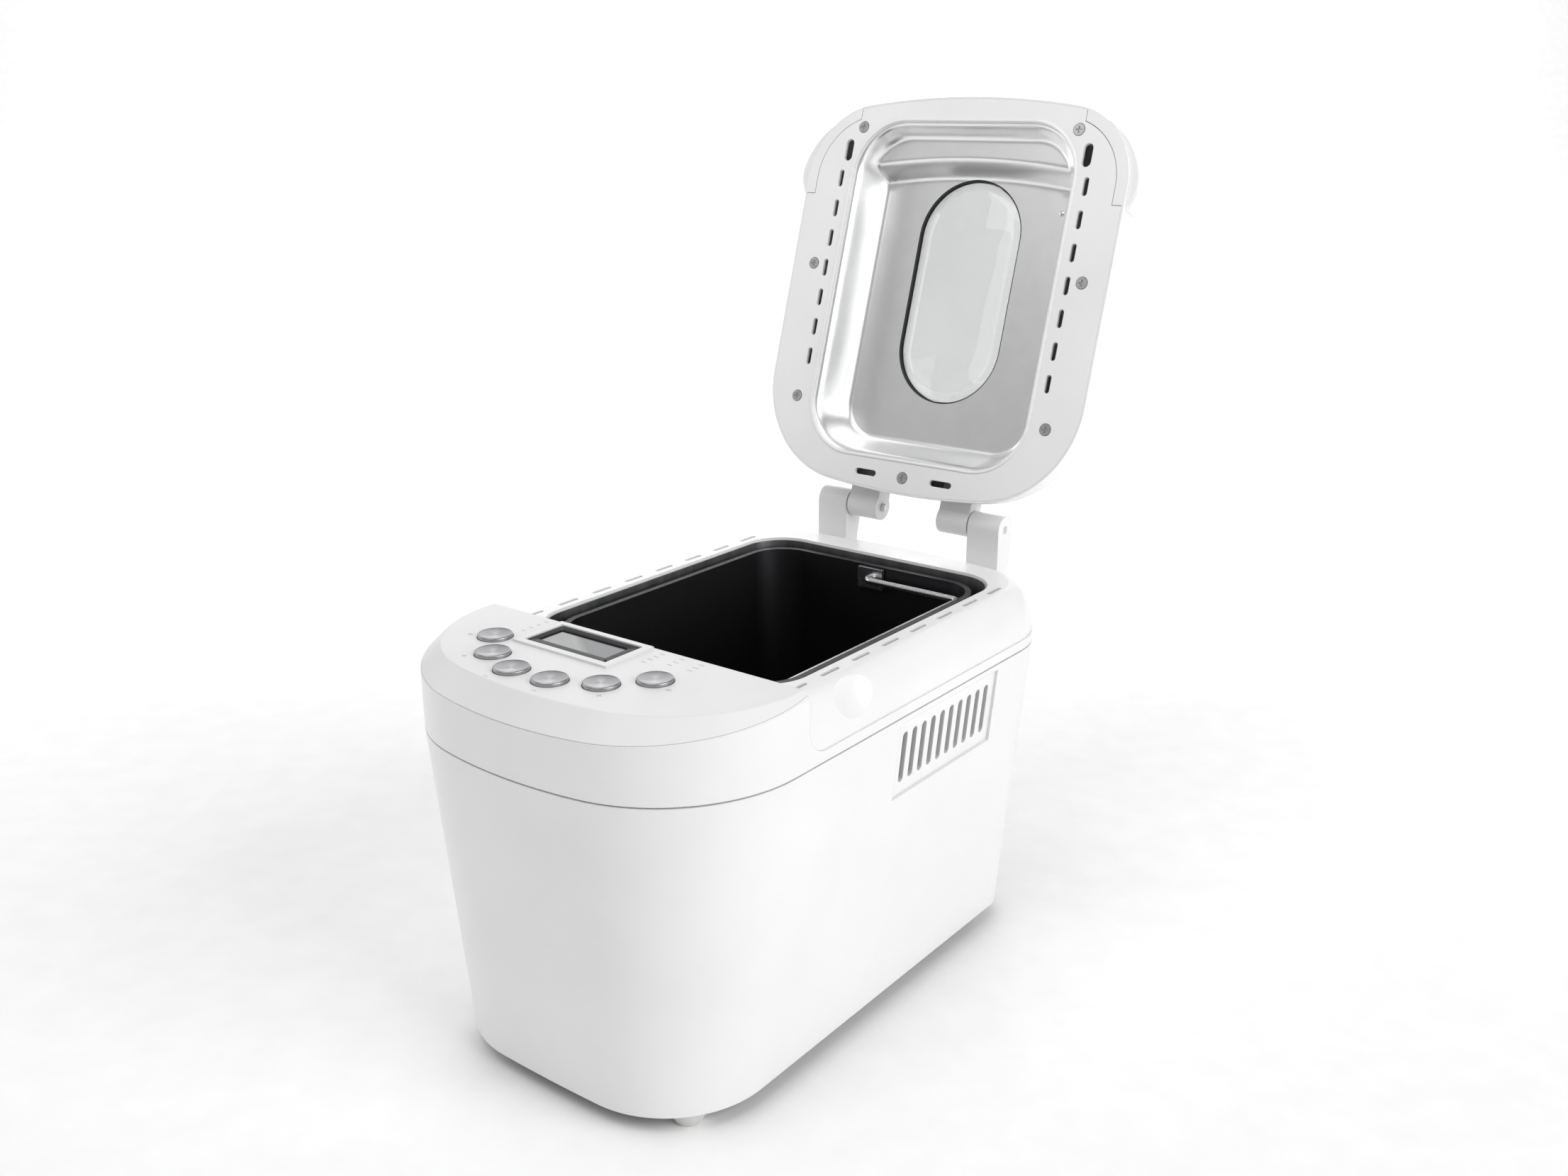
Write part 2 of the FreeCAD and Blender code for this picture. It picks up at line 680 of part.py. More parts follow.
def pan_clips():
    """Two leaf springs on the seat that grip the foot of the pan."""
    low = SEAT_Z + SEAT_HEIGHT
    leaf = box(41.0, 42.2, OVEN_Y - 9, OVEN_Y + 9, low, low + 11)
    flat_end = box(41.0, 48.0, OVEN_Y - 9, OVEN_Y + 9, low, low + 1.2)
    clip = fused([leaf, flat_end])
    return group([clip, mirrored(clip)])


# ---- bread pan ---------------------------------------------------------------------------
PAN_FOOT_RADIUS = 38.0
PAN_BOSS_RADIUS = 11.0


def pan_wire(inset, z):
    share = (PAN_RIM_Z - z) / (PAN_RIM_Z - PAN_FLOOR_Z)
    shrink = inset + PAN_TAPER * share
    return rounded_rectangle(PAN_HALF_X - shrink, PAN_HALF_Y - shrink, PAN_CORNER - inset, OVEN_Y, z)


def bread_pan():
    outer = loft([pan_wire(0, PAN_FLOOR_Z), pan_wire(0, PAN_RIM_Z)])
    inner = loft([pan_wire(PAN_WALL, PAN_FLOOR_Z + PAN_WALL), pan_wire(PAN_WALL, PAN_RIM_Z + 1)])
    low = PAN_RIM_Z - PAN_RIM_HEIGHT
    half_x = PAN_HALF_X + PAN_RIM_WIDTH
    half_y = PAN_HALF_Y + PAN_RIM_WIDTH
    rim = prism(rounded_rectangle(half_x, half_y, PAN_CORNER + PAN_RIM_WIDTH, OVEN_Y, low), PAN_RIM_HEIGHT)
    rim = rim.cut(loft([pan_wire(0, PAN_RIM_Z - 4), pan_wire(0, PAN_RIM_Z + 1)]))
    boss = cylinder(PAN_BOSS_RADIUS, 0, OVEN_Y, PAN_FLOOR_Z, PAN_FLOOR_Z + 6)
    bore = cylinder(SHAFT_RADIUS + RUN_CLEARANCE, 0, OVEN_Y, PAN_FLOOR_Z - 5, PAN_FLOOR_Z + 10)
    return without(fused([outer.cut(inner), rim, boss]), [bore])


def pan_foot():
    ring = tube(PAN_FOOT_RADIUS, PAN_FOOT_RADIUS - 3, 0, OVEN_Y, SEAT_Z + SEAT_HEIGHT, PAN_FLOOR_Z)
    web = tube(PAN_FOOT_RADIUS - 3, SHAFT_RADIUS + RUN_CLEARANCE, 0, OVEN_Y, PAN_FLOOR_Z - 6, PAN_FLOOR_Z)
    return fused([ring, web])


HANDLE_RADIUS = 2.0
HANDLE_Z = PAN_RIM_Z - 7.0
HANDLE_REACH = 68.0
HANDLE_BEND = 4.5
HANDLE_PIN_Y = PAN_HALF_Y - 3.2
HANDLE_ARM_Y = PAN_HALF_Y - 10.5
EAR_Y0 = PAN_HALF_Y - 5.2
EAR_Y1 = PAN_HALF_Y - PAN_WALL - 0.9


def handle_ears():
    """Two ears riveted inside the ends of the pan; the handle turns in their holes."""
    ears = []
    for side in (-1, 1):
        y0, y1 = sorted((OVEN_Y + side * EAR_Y0, OVEN_Y + side * EAR_Y1))
        ear = box(-9, 9, y0, y1, HANDLE_Z - 7, HANDLE_Z + 6)
        hole = along_depth(HANDLE_RADIUS + RUN_CLEARANCE, 0, y0 - 1, HANDLE_Z, y1 - y0 + 2)
        ears.append(ear.cut(hole))
    return group(ears)


def pan_handle():
    """Wire bail, folded down along the right side of the pan."""
    route = [
        Vector(0, OVEN_Y - HANDLE_PIN_Y, HANDLE_Z),
        Vector(0, OVEN_Y - HANDLE_ARM_Y, HANDLE_Z),
        Vector(HANDLE_REACH, OVEN_Y - HANDLE_ARM_Y, HANDLE_Z),
        Vector(HANDLE_REACH, OVEN_Y + HANDLE_ARM_Y, HANDLE_Z),
        Vector(0, OVEN_Y + HANDLE_ARM_Y, HANDLE_Z),
        Vector(0, OVEN_Y + HANDLE_PIN_Y, HANDLE_Z),
    ]
    return pipe(route, HANDLE_BEND, HANDLE_RADIUS)


PADDLE_Z = PAN_FLOOR_Z + 6.8
BLADE_HEIGHT = 26.0
FLAT_X = SHAFT_RADIUS - 1.2  # the paddle hub locks on this flat of the spindle


def pan_spindle():
    """Spindle sealed into the pan, with the driven wing at its lower end."""
    shaft = cylinder(SHAFT_RADIUS, 0, OVEN_Y, SEAT_Z + 9, PADDLE_Z + 17)
    wing = box(-13, 13, OVEN_Y - 3, OVEN_Y + 3, SEAT_Z + 9, SEAT_Z + 15)
    flat = box(FLAT_X, SHAFT_RADIUS + 2, OVEN_Y - 6, OVEN_Y + 6, PADDLE_Z - 0.4, PADDLE_Z + 20)
    return fused([shaft, wing]).cut(flat)


def kneading_paddle():
    """Hub with one curved blade that slopes down towards its tip."""
    hub = Part.makeCone(13.0, 9.5, 20.0, Vector(0, OVEN_Y, PADDLE_Z), UP)
    bore = cylinder(SHAFT_RADIUS + RUN_CLEARANCE, 0, OVEN_Y, PADDLE_Z - 1, PADDLE_Z + 17.2)
    key = box(FLAT_X + RUN_CLEARANCE, 9, OVEN_Y - 9, OVEN_Y + 9, PADDLE_Z - 2, PADDLE_Z + 19)
    root_front = Vector(4, OVEN_Y - 2.2, PADDLE_Z)
    root_back = Vector(4, OVEN_Y + 4.0, PADDLE_Z)
    tip_front = Vector(44, OVEN_Y + 7.0, PADDLE_Z)
    tip_back = Vector(42, OVEN_Y + 11.0, PADDLE_Z)
    outline = [
        Part.Arc(root_front, Vector(24, OVEN_Y - 3.0, PADDLE_Z), tip_front),
        Part.Arc(tip_front, Vector(45.5, OVEN_Y + 10.5, PADDLE_Z), tip_back),
        Part.Arc(tip_back, Vector(24, OVEN_Y + 3.0, PADDLE_Z), root_back),
        Part.LineSegment(root_back, root_front),
    ]
    blade = prism(Part.Wire([edge.toShape() for edge in outline]), BLADE_HEIGHT)
    slope = box(0, 80, -60, 60, 0, 60)
    place = Vector(8, OVEN_Y, PADDLE_Z + BLADE_HEIGHT)
    slope.Placement = FreeCAD.Placement(place, FreeCAD.Rotation(ALONG_Y, 24))
    return fused([hub, blade.cut(slope)]).cut(bore.cut(key))


# ---- drive under the oven ----------------------------------------------------------------
def chassis():
    """Steel plate on four folded legs; it carries the motor and the shaft bearing."""
    plate = box(-58, 58, -152, 84, CHASSIS_Z, CHASSIS_TOP)
    legs = []
    for x in (-58.0, 56.0):
        for y in (-150.0, 66.0):
            legs.append(box(x, x + CHASSIS_SHEET, y, y + 16, BASE_Z + BASE_SHEET, CHASSIS_Z))
    holes = [cylinder(BEARING_NECK, 0, OVEN_Y, CHASSIS_Z - 1, CHASSIS_TOP + 1)]
    holes.append(cylinder(MOTOR_NOSE + 0.1, 0, MOTOR_Y, CHASSIS_Z - 1, CHASSIS_TOP + 1))
    return without(fused([plate] + legs), holes)


def bearing_housing():
    body = cylinder(BEARING_NECK + 1, 0, OVEN_Y, CHASSIS_TOP, OVEN_FLOOR_Z)
    flange = cylinder(2 * BEARING_NECK, 0, OVEN_Y, CHASSIS_TOP, CHASSIS_TOP + 3)
    neck = cylinder(BEARING_NECK, 0, OVEN_Y, CHASSIS_Z, CHASSIS_TOP)
    bore = cylinder(BUSH_RADIUS, 0, OVEN_Y, CHASSIS_Z - 1, OVEN_FLOOR_Z + 1)
    return fused([body, flange, neck]).cut(bore)


def bearing_bush():
    return tube(BUSH_RADIUS, SHAFT_RADIUS + RUN_CLEARANCE, 0, OVEN_Y, CHASSIS_Z, OVEN_FLOOR_Z)


def drive_shaft():
    return cylinder(SHAFT_RADIUS, 0, OVEN_Y, SHAFT_END_Z, SEAT_Z + 5)


def drive_dog():
    """Driving cup on top of the shaft: two lugs push the wing of the pan spindle."""
    disc = tube(17.0, SHAFT_RADIUS, 0, OVEN_Y, SEAT_Z + 1, SEAT_Z + 5)
    lugs = [box(-5, 5, OVEN_Y + 8, OVEN_Y + 13, SEAT_Z + 5, SEAT_Z + 13)]
    lugs.append(box(-5, 5, OVEN_Y - 13, OVEN_Y - 8, SEAT_Z + 5, SEAT_Z + 13))
    return fused([disc] + lugs)


def pulley(radius, bore, y):
    """Belt pulley with a flange at each side of the belt track."""
    track = cylinder(radius, 0, y, PULLEY_Z0, PULLEY_Z1)
    low = cylinder(radius + PULLEY_LIP, 0, y, PULLEY_Z0, PULLEY_Z0 + 2)
    high = cylinder(radius + PULLEY_LIP, 0, y, PULLEY_Z1 - 2, PULLEY_Z1)
    hole = cylinder(bore, 0, y, PULLEY_Z0 - 1, PULLEY_Z1 + 1)
    return fused([track, low, high]).cut(hole)


def driven_pulley():
    wheel = pulley(BIG_PULLEY, SHAFT_RADIUS, OVEN_Y)
    windows = []
    ring = (BIG_PULLEY + BUSH_RADIUS) / 2
    for index in range(PULLEY_SPOKES):
        turn = math.radians(360 * index / PULLEY_SPOKES)
        x = ring * math.cos(turn)
        y = OVEN_Y + ring * math.sin(turn)
        windows.append(cylinder(10.0, x, y, PULLEY_Z0 - 1, PULLEY_Z1 + 1))
    return without(wheel, windows)


def motor_pulley():
    return pulley(SMALL_PULLEY, MOTOR_BORE - RUN_CLEARANCE, MOTOR_Y)


def belt_wire(grow):
    """Line of the belt: two arcs and the two straight runs that touch them."""
    distance = OVEN_Y - MOTOR_Y
    lean = math.asin((BIG_PULLEY - SMALL_PULLEY) / distance)
    big = BIG_PULLEY + grow
    small = SMALL_PULLEY + grow
    z = PULLEY_Z0 + 3
    big_side = Vector(big * math.cos(lean), OVEN_Y - big * math.sin(lean), z)
    small_side = Vector(small * math.cos(lean), MOTOR_Y - small * math.sin(lean), z)

    def flip(point):
        return Vector(-point.x, point.y, point.z)

    edges = [
        Part.Arc(flip(small_side), Vector(0, MOTOR_Y - small, z), small_side).toShape(),
        Part.LineSegment(small_side, big_side).toShape(),
        Part.Arc(big_side, Vector(0, OVEN_Y + big, z), flip(big_side)).toShape(),
        Part.LineSegment(flip(big_side), flip(small_side)).toShape(),
    ]
    return Part.Wire(edges)


def drive_belt():
    height = PULLEY_Z1 - PULLEY_Z0 - 6
    return prism(belt_wire(BELT_GAP + BELT_SHEET), height).cut(prism(belt_wire(BELT_GAP), height))


def motor():
    """Motor can on a mounting plate, standing on the chassis with the shaft pointing down."""
    top = CHASSIS_TOP + MOTOR_HEIGHT
    can = cylinder(MOTOR_RADIUS, 0, MOTOR_Y, CHASSIS_TOP + 3, top)
    plate = box(-30, 30, MOTOR_Y - 24, MOTOR_Y + 24, CHASSIS_TOP, CHASSIS_TOP + 3)
    nose = cylinder(MOTOR_NOSE, 0, MOTOR_Y, CHASSIS_Z, CHASSIS_TOP)
    tail = cylinder(9.0, 0, MOTOR_Y, top, top + 6)
    bore = cylinder(MOTOR_BORE, 0, MOTOR_Y, CHASSIS_Z - 1, CHASSIS_TOP + 20)
    return fused([can, plate, nose, tail]).cut(bore)


def motor_shaft():
    return cylinder(MOTOR_BORE - RUN_CLEARANCE, 0, MOTOR_Y, SHAFT_END_Z, CHASSIS_TOP + 18)


def power_board():
    """Upright board beside the motor with a transformer, a relay and a capacitor."""
    face = 44.0 + PCB_SHEET
    board = box(44.0, face, -146, -96, CHASSIS_TOP, 128)
    transformer = box(face, 68, -138, -112, 60, 86)
    relay = box(face, 62, -108, -97, 60, 76)
    capacitor = cross_cylinder(7.0, face, face + 24, -125, 104)
    return fused([board, transformer, relay, capacitor])


def mains_inlet():
    """Appliance inlet low in the rear wall; the lead is not part of the model."""
    middle_z = (INLET_Z0 + INLET_Z1) / 2
    middle_x = (INLET_X0 + INLET_X1) / 2
    rear = REAR - REAR_DRAFT * (SEAM_Z - middle_z)
    rim = 4.0
    body = box(INLET_X0, INLET_X1, rear - 22, rear - 1.5, INLET_Z0, INLET_Z1)
    socket = box(INLET_X0 + rim, INLET_X1 - rim, rear - 18, rear + 4, INLET_Z0 + rim, INLET_Z1 - rim)
    pins = []
    for x in (middle_x - 6, middle_x, middle_x + 6):
        pins.append(box(x - 1, x + 1, rear - 18, rear - 5, middle_z - 1.5, middle_z + 1.5))
    return fused([body.cut(socket)] + pins)


# ---- lid, drawn closed -------------------------------------------------------------------
# (inset of the outline, share of the lid height)
LID_SECTIONS = (
    (0.0, 0.0), (0.3, 0.22), (1.6, 0.45), (5.5, 0.68), (12.0, 0.84), (22.0, 0.95), (34.0, 1.0),
)
SCREW_PLACES = [(0.0, 156.5), (92.0, 114.0), (97.5, 26.0), (77.0, -64.0)]
FRAME_SLOTS = 7
FRAME_SLOT_PITCH = 19.6
LINER_MIDDLE = (LINER_Y0 + LINER_Y1) / 2
LINER_HALF_Y = (LINER_Y1 - LINER_Y0) / 2
LINER_SLOPE = 9.0           # the recess is narrower by this much at its floor
LINER_SHELF = 11.0
LINER_SHELF_Y = -42.0
LINER_FLANGE = 5.0
WINDOW_Z = LID_Z + LINER_DEPTH + LINER_SHEET
GLASS = 3.4
GLASS_TOP = 2.5
TOP_GLASS_MARGIN = 6.0
SEAL_WIDTH = 3.0
# (height above the underside of the grip, inset of the outline)
GRIP_BULGE = 7.5
GRIP_SECTIONS = ((0.0, 2.2), (0.9, 0.8), (2.6, 0.0), (16.4, 0.0), (18.3, 0.8), (19.4, 2.2))


def lid_volume(inset, height):
    sections = []
    for shift, share in LID_SECTIONS:
        sections.append(lid_plan(LID_Z + share * height, inset + shift))
    return loft(sections, False)


def screw_places():
    places = []
    for x, y in SCREW_PLACES:
        places.append((x, y))
        if x > 0:
            places.append((-x, y))
    return places


def lid_arm(side):
    """Arm of the lid that reaches back to the hinge line."""
    x0, x1 = sorted((side * ARM_X0, side * ARM_X1))
    web = box(x0, x1, HINGE_Y - 32, HINGE_Y, HINGE_Z - 6.5, HINGE_Z + 6.5)
    knuckle = cross_cylinder(KNUCKLE, x0, x1, HINGE_Y, HINGE_Z)
    bore = cross_cylinder(PIN_RADIUS + RUN_CLEARANCE, x0 - 1, x1 + 1, HINGE_Y, HINGE_Z)
    return fused([web, knuckle]).cut(bore)


def window_prism(grow, z0, z1):
    outline = stadium(WINDOW_HALF_X + grow, WINDOW_HALF_Y + grow, 0, WINDOW_Y, z0)
    return prism(outline, z1 - z0)


def liner_prism(grow, z0, z1):
    half_x = LINER_HALF_X + grow
    half_y = LINER_HALF_Y + grow
    return prism(rounded_rectangle(half_x, half_y, LINER_CORNER + grow, LINER_MIDDLE, z0), z1 - z0)


def lid_shell():
    """Outer shell of the lid with posts for the frame screws and the window opening."""
    outer = lid_volume(0.0, LID_HEIGHT)
    inner = lid_volume(WALL, LID_HEIGHT - WALL)
    shell = outer.cut(inner)
    posts = []
    for x, y in screw_places():
        post = tube(4.5, SCREW_SHANK, x, y, LID_Z + FRAME_SHEET, LID_Z + LID_HEIGHT)
        posts.append(post.common(outer))
    shell = fused([shell] + posts)
    window = window_prism(TOP_GLASS_MARGIN, LID_Z + 5, LID_Z + 65)
    frame_space = prism(lid_plan(LID_Z - 1, FRAME_INSET), FRAME_SHEET + 1)
    shell = without(shell, [window, frame_space, lid_arm(-1), lid_arm(1)])
    ledge = prism(lid_plan(LID_Z, FRAME_INSET), FRAME_SHEET).common(beside_frame(LEDGE_GAP))
    return shell.fuse(ledge).removeSplitter()


def beside_frame(gap):
    """Space beside the narrow front part of the frame, held back from it by gap."""
    low, high = LID_Z - 1, LID_Z + FRAME_SHEET + 1
    sides = box(-FAR, FAR, LID_FRONT - 5, FRAME_STEP_Y - gap, low, high)
    narrow = prism(lid_plan(low - 1, FRAME_INSET + FRAME_STEP - gap), high - low + 2)
    middle = box(-FRAME_NOSE - gap, FRAME_NOSE + gap, LID_FRONT - 6, 0, low - 1, high + 1)
    return sides.cut(narrow.fuse(middle))


def lid_frame():
    """Flat inner frame; it narrows in one step beside the grips."""
    plate = prism(lid_plan(LID_Z, FRAME_INSET), FRAME_SHEET)
    tools = [beside_frame(0.0), liner_prism(0.0, LID_Z - 1, LID_Z + 5)]
    for index in range(FRAME_SLOTS):
        slot = prism(stadium(1.7, 5.5, 88.0, -30.5 + FRAME_SLOT_PITCH * index, LID_Z - 1), 6)
        tools += [slot, mirrored(slot)]
    oval = prism(stadium(3.0, 7.0, 85.5, -49.0, LID_Z - 1), 6)
    tools += [oval, mirrored(oval)]
    for x in (-28.0, 28.0):
        slot = prism(stadium(1.9, 8.0, 0, 0, 0), 6)
        slot.Placement = FreeCAD.Placement(Vector(x, 156.5, LID_Z - 1), FreeCAD.Rotation(UP, 90))
        tools.append(slot)
    for x, y in screw_places():
        tools.append(cylinder(SCREW_SHANK, x, y, LID_Z - 1, LID_Z + 5))
        tools.append(cylinder(SCREW_HEAD, x, y, LID_Z - 1, LID_Z + 1.2))
    return without(plate, tools)


def lid_screws():
    screws = []
    for x, y in screw_places():
        head = cylinder(SCREW_HEAD - 0.3, x, y, LID_Z - 0.2, LID_Z + 1.2)
        cross = fused([box(x - 2, x + 2, y - 0.4, y + 0.4, LID_Z - 1, LID_Z + 0.6),
                       box(x - 0.4, x + 0.4, y - 2, y + 2, LID_Z - 1, LID_Z + 0.6)])
        shank = cylinder(SCREW_SHANK, x, y, LID_Z + 1.2, LID_Z + 14)
        screws.append(head.cut(cross).fuse(shank))
    return group(screws)


def liner_volume(shrink, top):
    """Recess of the liner: sloping walls, and a shallow shelf across the front end."""
    low = LID_Z + FRAME_SHEET
    half_x = LINER_HALF_X - shrink
    half_y = LINER_HALF_Y - shrink
    corner = LINER_CORNER - shrink
    mouth = rounded_rectangle(half_x, half_y, corner, LINER_MIDDLE, low)
    floor = rounded_rectangle(half_x - LINER_SLOPE, half_y - LINER_SLOPE, corner - 6, LINER_MIDDLE, top)
    step_y = LINER_SHELF_Y + shrink
    deep = box(-FAR, FAR, step_y, FAR, low - 1, top + 1)
    shelf = box(-FAR, FAR, -FAR, step_y, low - 1, low + LINER_SHELF - shrink)
    return loft([mouth, floor]).common(deep.fuse(shelf))


def lid_liner():
    """Pressed sheet recess with a flange behind the frame and the window opening."""
    low = LID_Z + FRAME_SHEET
    outer = liner_volume(-LINER_SHEET, WINDOW_Z)
    inner = liner_volume(0.0, WINDOW_Z - LINER_SHEET)
    flange = liner_prism(LINER_FLANGE, low, low + LINER_SHEET)
    mouth = liner_prism(0.0, low - 1, low + 0.2)
    opening = window_prism(0.0, LID_Z + 20, LID_Z + 40)
    return without(fused([outer, flange]), [inner, mouth, opening])


def window_seal():
    ring = window_prism(SEAL_WIDTH, WINDOW_Z, WINDOW_Z + GLASS)
    return ring.cut(window_prism(0.0, WINDOW_Z - 1, WINDOW_Z + GLASS + 1))


def inner_window():
    return window_prism(0.0, WINDOW_Z, WINDOW_Z + GLASS)


def outer_window():
    top = LID_Z + LID_HEIGHT
    return window_prism(TOP_GLASS_MARGIN, top - GLASS_TOP, top)


def grip_plan(z, inset):
    """Outline of the right grip: a swelling outer line, closed inside the lid wall."""
    fullest = LID_HALF_WIDTH + GRIP_BULGE - inset
    rear = SCOOP_Y + 25 - inset
    line = [
        Vector(88, LID_FRONT + 11.6 + inset, z),
        Vector(105.5 - inset, LID_FRONT + 20, z),
        Vector(fullest - 3, SCOOP_Y - 4, z),
        Vector(fullest, SCOOP_Y + 10, z),
        Vector(fullest - 2.5, SCOOP_Y + 19 - inset, z),
        Vector(LID_HALF_WIDTH - 2.5 - inset, rear, z),
    ]
    curve = Part.BSplineCurve()
    curve.interpolate(line)
    corner = Vector(84, rear, z)
    edges = [curve, Part.LineSegment(line[-1], corner), Part.LineSegment(corner, line[0])]
    return Part.Wire([edge.toShape() for edge in edges])


def lid_grip():
    """Grip swelling out of the right side of the lid, fullest above the finger scoop."""
    low = LID_Z + 1.5
    sections = [grip_plan(low + rise, inset) for rise, inset in GRIP_SECTIONS]
    return loft(sections).cut(lid_volume(0.0, LID_HEIGHT)).Solids[0]


def swung_open(shape):
    shape.rotate(Vector(0, HINGE_Y, HINGE_Z), ALONG_X, -OPEN_DEG)
    return shape


# ---- write the pieces --------------------------------------------------------------------
def save(name, shape):
    shape.translate(Vector(0, -BOX_MIDDLE_Y, 0))
    shape.exportStep("parts/" + name + ".step")


def save_casing():
    save("lower_body", lower_body())
    save("upper_housing", upper_housing())
    save("panel_cap", panel_cap())
    save("deck", deck())
    save("base_plate", base_plate())
    save("side_vent_right", side_vent())
    save("side_vent_left", mirrored(side_vent()))
    names = ("foot_front_left", "foot_front_right", "foot_rear_left", "foot_rear_right")
    for name, place in zip(names, FOOT_PLACES):
        save(name, foot(*place))
    save("foot_screws", foot_screws())
    save("mains_inlet", mains_inlet())


def save_controls():
    save("lcd_bezel", lcd_bezel())
    save("lcd_window", lcd_window())
    save("lcd_module", lcd_module())
    save("control_board", control_board())
    for index, place in enumerate(button_places()):
        save("button_" + str(index + 1), button(*place))


def save_oven():
    save("oven_chamber", oven_chamber())
    save("heating_element", heating_element())
    save("temperature_sensor", temperature_sensor())
    save("pan_seat", pan_seat())
    save("pan_clips", pan_clips())
    save("bread_pan", bread_pan())
    save("pan_foot", pan_foot())
    save("handle_ears", handle_ears())
    save("pan_handle", pan_handle())
    save("pan_spindle", pan_spindle())
    save("kneading_paddle", kneading_paddle())


def save_drive():
    save("chassis", chassis())
    save("bearing_housing", bearing_housing())
    save("bearing_bush", bearing_bush())
    save("drive_shaft", drive_shaft())
    save("drive_dog", drive_dog())
    save("driven_pulley", driven_pulley())
    save("motor_pulley", motor_pulley())
    save("drive_belt", drive_belt())
    save("motor", motor())
    save("motor_shaft", motor_shaft())
    save("power_board", power_board())


def save_lid():
    for side, word in ((-1, "left"), (1, "right")):
        save("hinge_block_" + word, hinge_block(side))
        save("hinge_pin_" + word, hinge_pin(side))
        save("lid_arm_" + word, swung_open(lid_arm(side)))
    save("lid_shell", swung_open(lid_shell()))
    save("lid_frame", swung_open(lid_frame()))
    save("lid_screws", swung_open(lid_screws()))
    save("lid_liner", swung_open(lid_liner()))
    save("window_seal", swung_open(window_seal()))
    save("inner_window", swung_open(inner_window()))
    save("outer_window", swung_open(outer_window()))
    save("lid_grip_right", swung_open(lid_grip()))
    save("lid_grip_left", swung_open(mirrored(lid_grip())))


os.makedirs("parts", exist_ok=True)
save_casing()
save_controls()
save_oven()
save_drive()
save_lid()
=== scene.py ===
"""Visual model of the bread machine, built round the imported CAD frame."""
import json
import math

import bpy
import bmesh
from mathutils import Matrix, Vector


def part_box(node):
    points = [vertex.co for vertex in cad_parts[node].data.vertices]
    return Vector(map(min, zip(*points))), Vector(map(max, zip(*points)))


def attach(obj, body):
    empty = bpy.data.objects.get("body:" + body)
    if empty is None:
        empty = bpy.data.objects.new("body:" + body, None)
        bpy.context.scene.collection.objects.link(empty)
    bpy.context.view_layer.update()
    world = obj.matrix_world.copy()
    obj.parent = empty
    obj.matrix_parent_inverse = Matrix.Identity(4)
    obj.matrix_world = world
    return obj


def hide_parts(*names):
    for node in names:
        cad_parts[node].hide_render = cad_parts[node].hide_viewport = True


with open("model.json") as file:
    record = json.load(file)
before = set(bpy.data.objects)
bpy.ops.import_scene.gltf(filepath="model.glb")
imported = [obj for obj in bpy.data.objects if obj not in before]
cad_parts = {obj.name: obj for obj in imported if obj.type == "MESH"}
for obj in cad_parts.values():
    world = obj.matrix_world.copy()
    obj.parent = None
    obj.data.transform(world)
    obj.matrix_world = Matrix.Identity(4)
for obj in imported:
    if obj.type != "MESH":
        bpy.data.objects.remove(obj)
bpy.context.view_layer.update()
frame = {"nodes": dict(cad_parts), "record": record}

MM = 0.001


# ---- node materials ---------------------------------------------------------------
def new_material(name):
    material = bpy.data.materials.new(name)
    material.use_nodes = True
    tree = material.node_tree
    tree.nodes.clear()
    output = tree.nodes.new("ShaderNodeOutputMaterial")
    shader = tree.nodes.new("ShaderNodeBsdfPrincipled")
    tree.links.new(shader.outputs["BSDF"], output.inputs["Surface"])
    return material, tree, shader


def coordinates(tree, scale=(1, 1, 1)):
    """Object coordinates in metres, stretched by scale."""
    source = tree.nodes.new("ShaderNodeTexCoord")
    mapping = tree.nodes.new("ShaderNodeMapping")
    mapping.inputs["Scale"].default_value = scale
    tree.links.new(source.outputs["Object"], mapping.inputs["Vector"])
    return mapping.outputs["Vector"]


def noise(tree, vector, scale, detail=2.0, rough=0.5):
    node = tree.nodes.new("ShaderNodeTexNoise")
    node.inputs["Scale"].default_value = scale
    node.inputs["Detail"].default_value = detail
    node.inputs["Roughness"].default_value = rough
    tree.links.new(vector, node.inputs["Vector"])
    return node.outputs["Fac"]


def ramp(tree, value, stops):
    """Colour ramp from (position, (r, g, b)) stops."""
    node = tree.nodes.new("ShaderNodeValToRGB")
    elements = node.color_ramp.elements
    elements[0].position, elements[0].color = stops[0][0], (*stops[0][1], 1)
    elements[1].position, elements[1].color = stops[-1][0], (*stops[-1][1], 1)
    for position, colour in stops[1:-1]:
        elements.new(position).color = (*colour, 1)
    tree.links.new(value, node.inputs["Fac"])
    return node.outputs["Color"]


def spread(tree, value, low, high):
    """Maps 0..1 to low..high."""
    node = tree.nodes.new("ShaderNodeMapRange")
    node.inputs["To Min"].default_value = low
    node.inputs["To Max"].default_value = high
    tree.links.new(value, node.inputs["Value"])
    return node.outputs["Result"]


def bump(tree, shader, height, strength, distance, edge=0.0):
    """Surface relief; with edge, sharp edges also catch the light as if rounded by that radius."""
    node = tree.nodes.new("ShaderNodeBump")
    if edge:
        rounding = tree.nodes.new("ShaderNodeBevel")
        rounding.samples = 4
        rounding.inputs["Radius"].default_value = edge
        tree.links.new(rounding.outputs["Normal"], node.inputs["Normal"])
    node.inputs["Strength"].default_value = strength
    node.inputs["Distance"].default_value = distance
    tree.links.new(height, node.inputs["Height"])
    tree.links.new(node.outputs["Normal"], shader.inputs["Normal"])


def scaled(colour, factor):
    return tuple(min(1.0, part * factor) for part in colour)


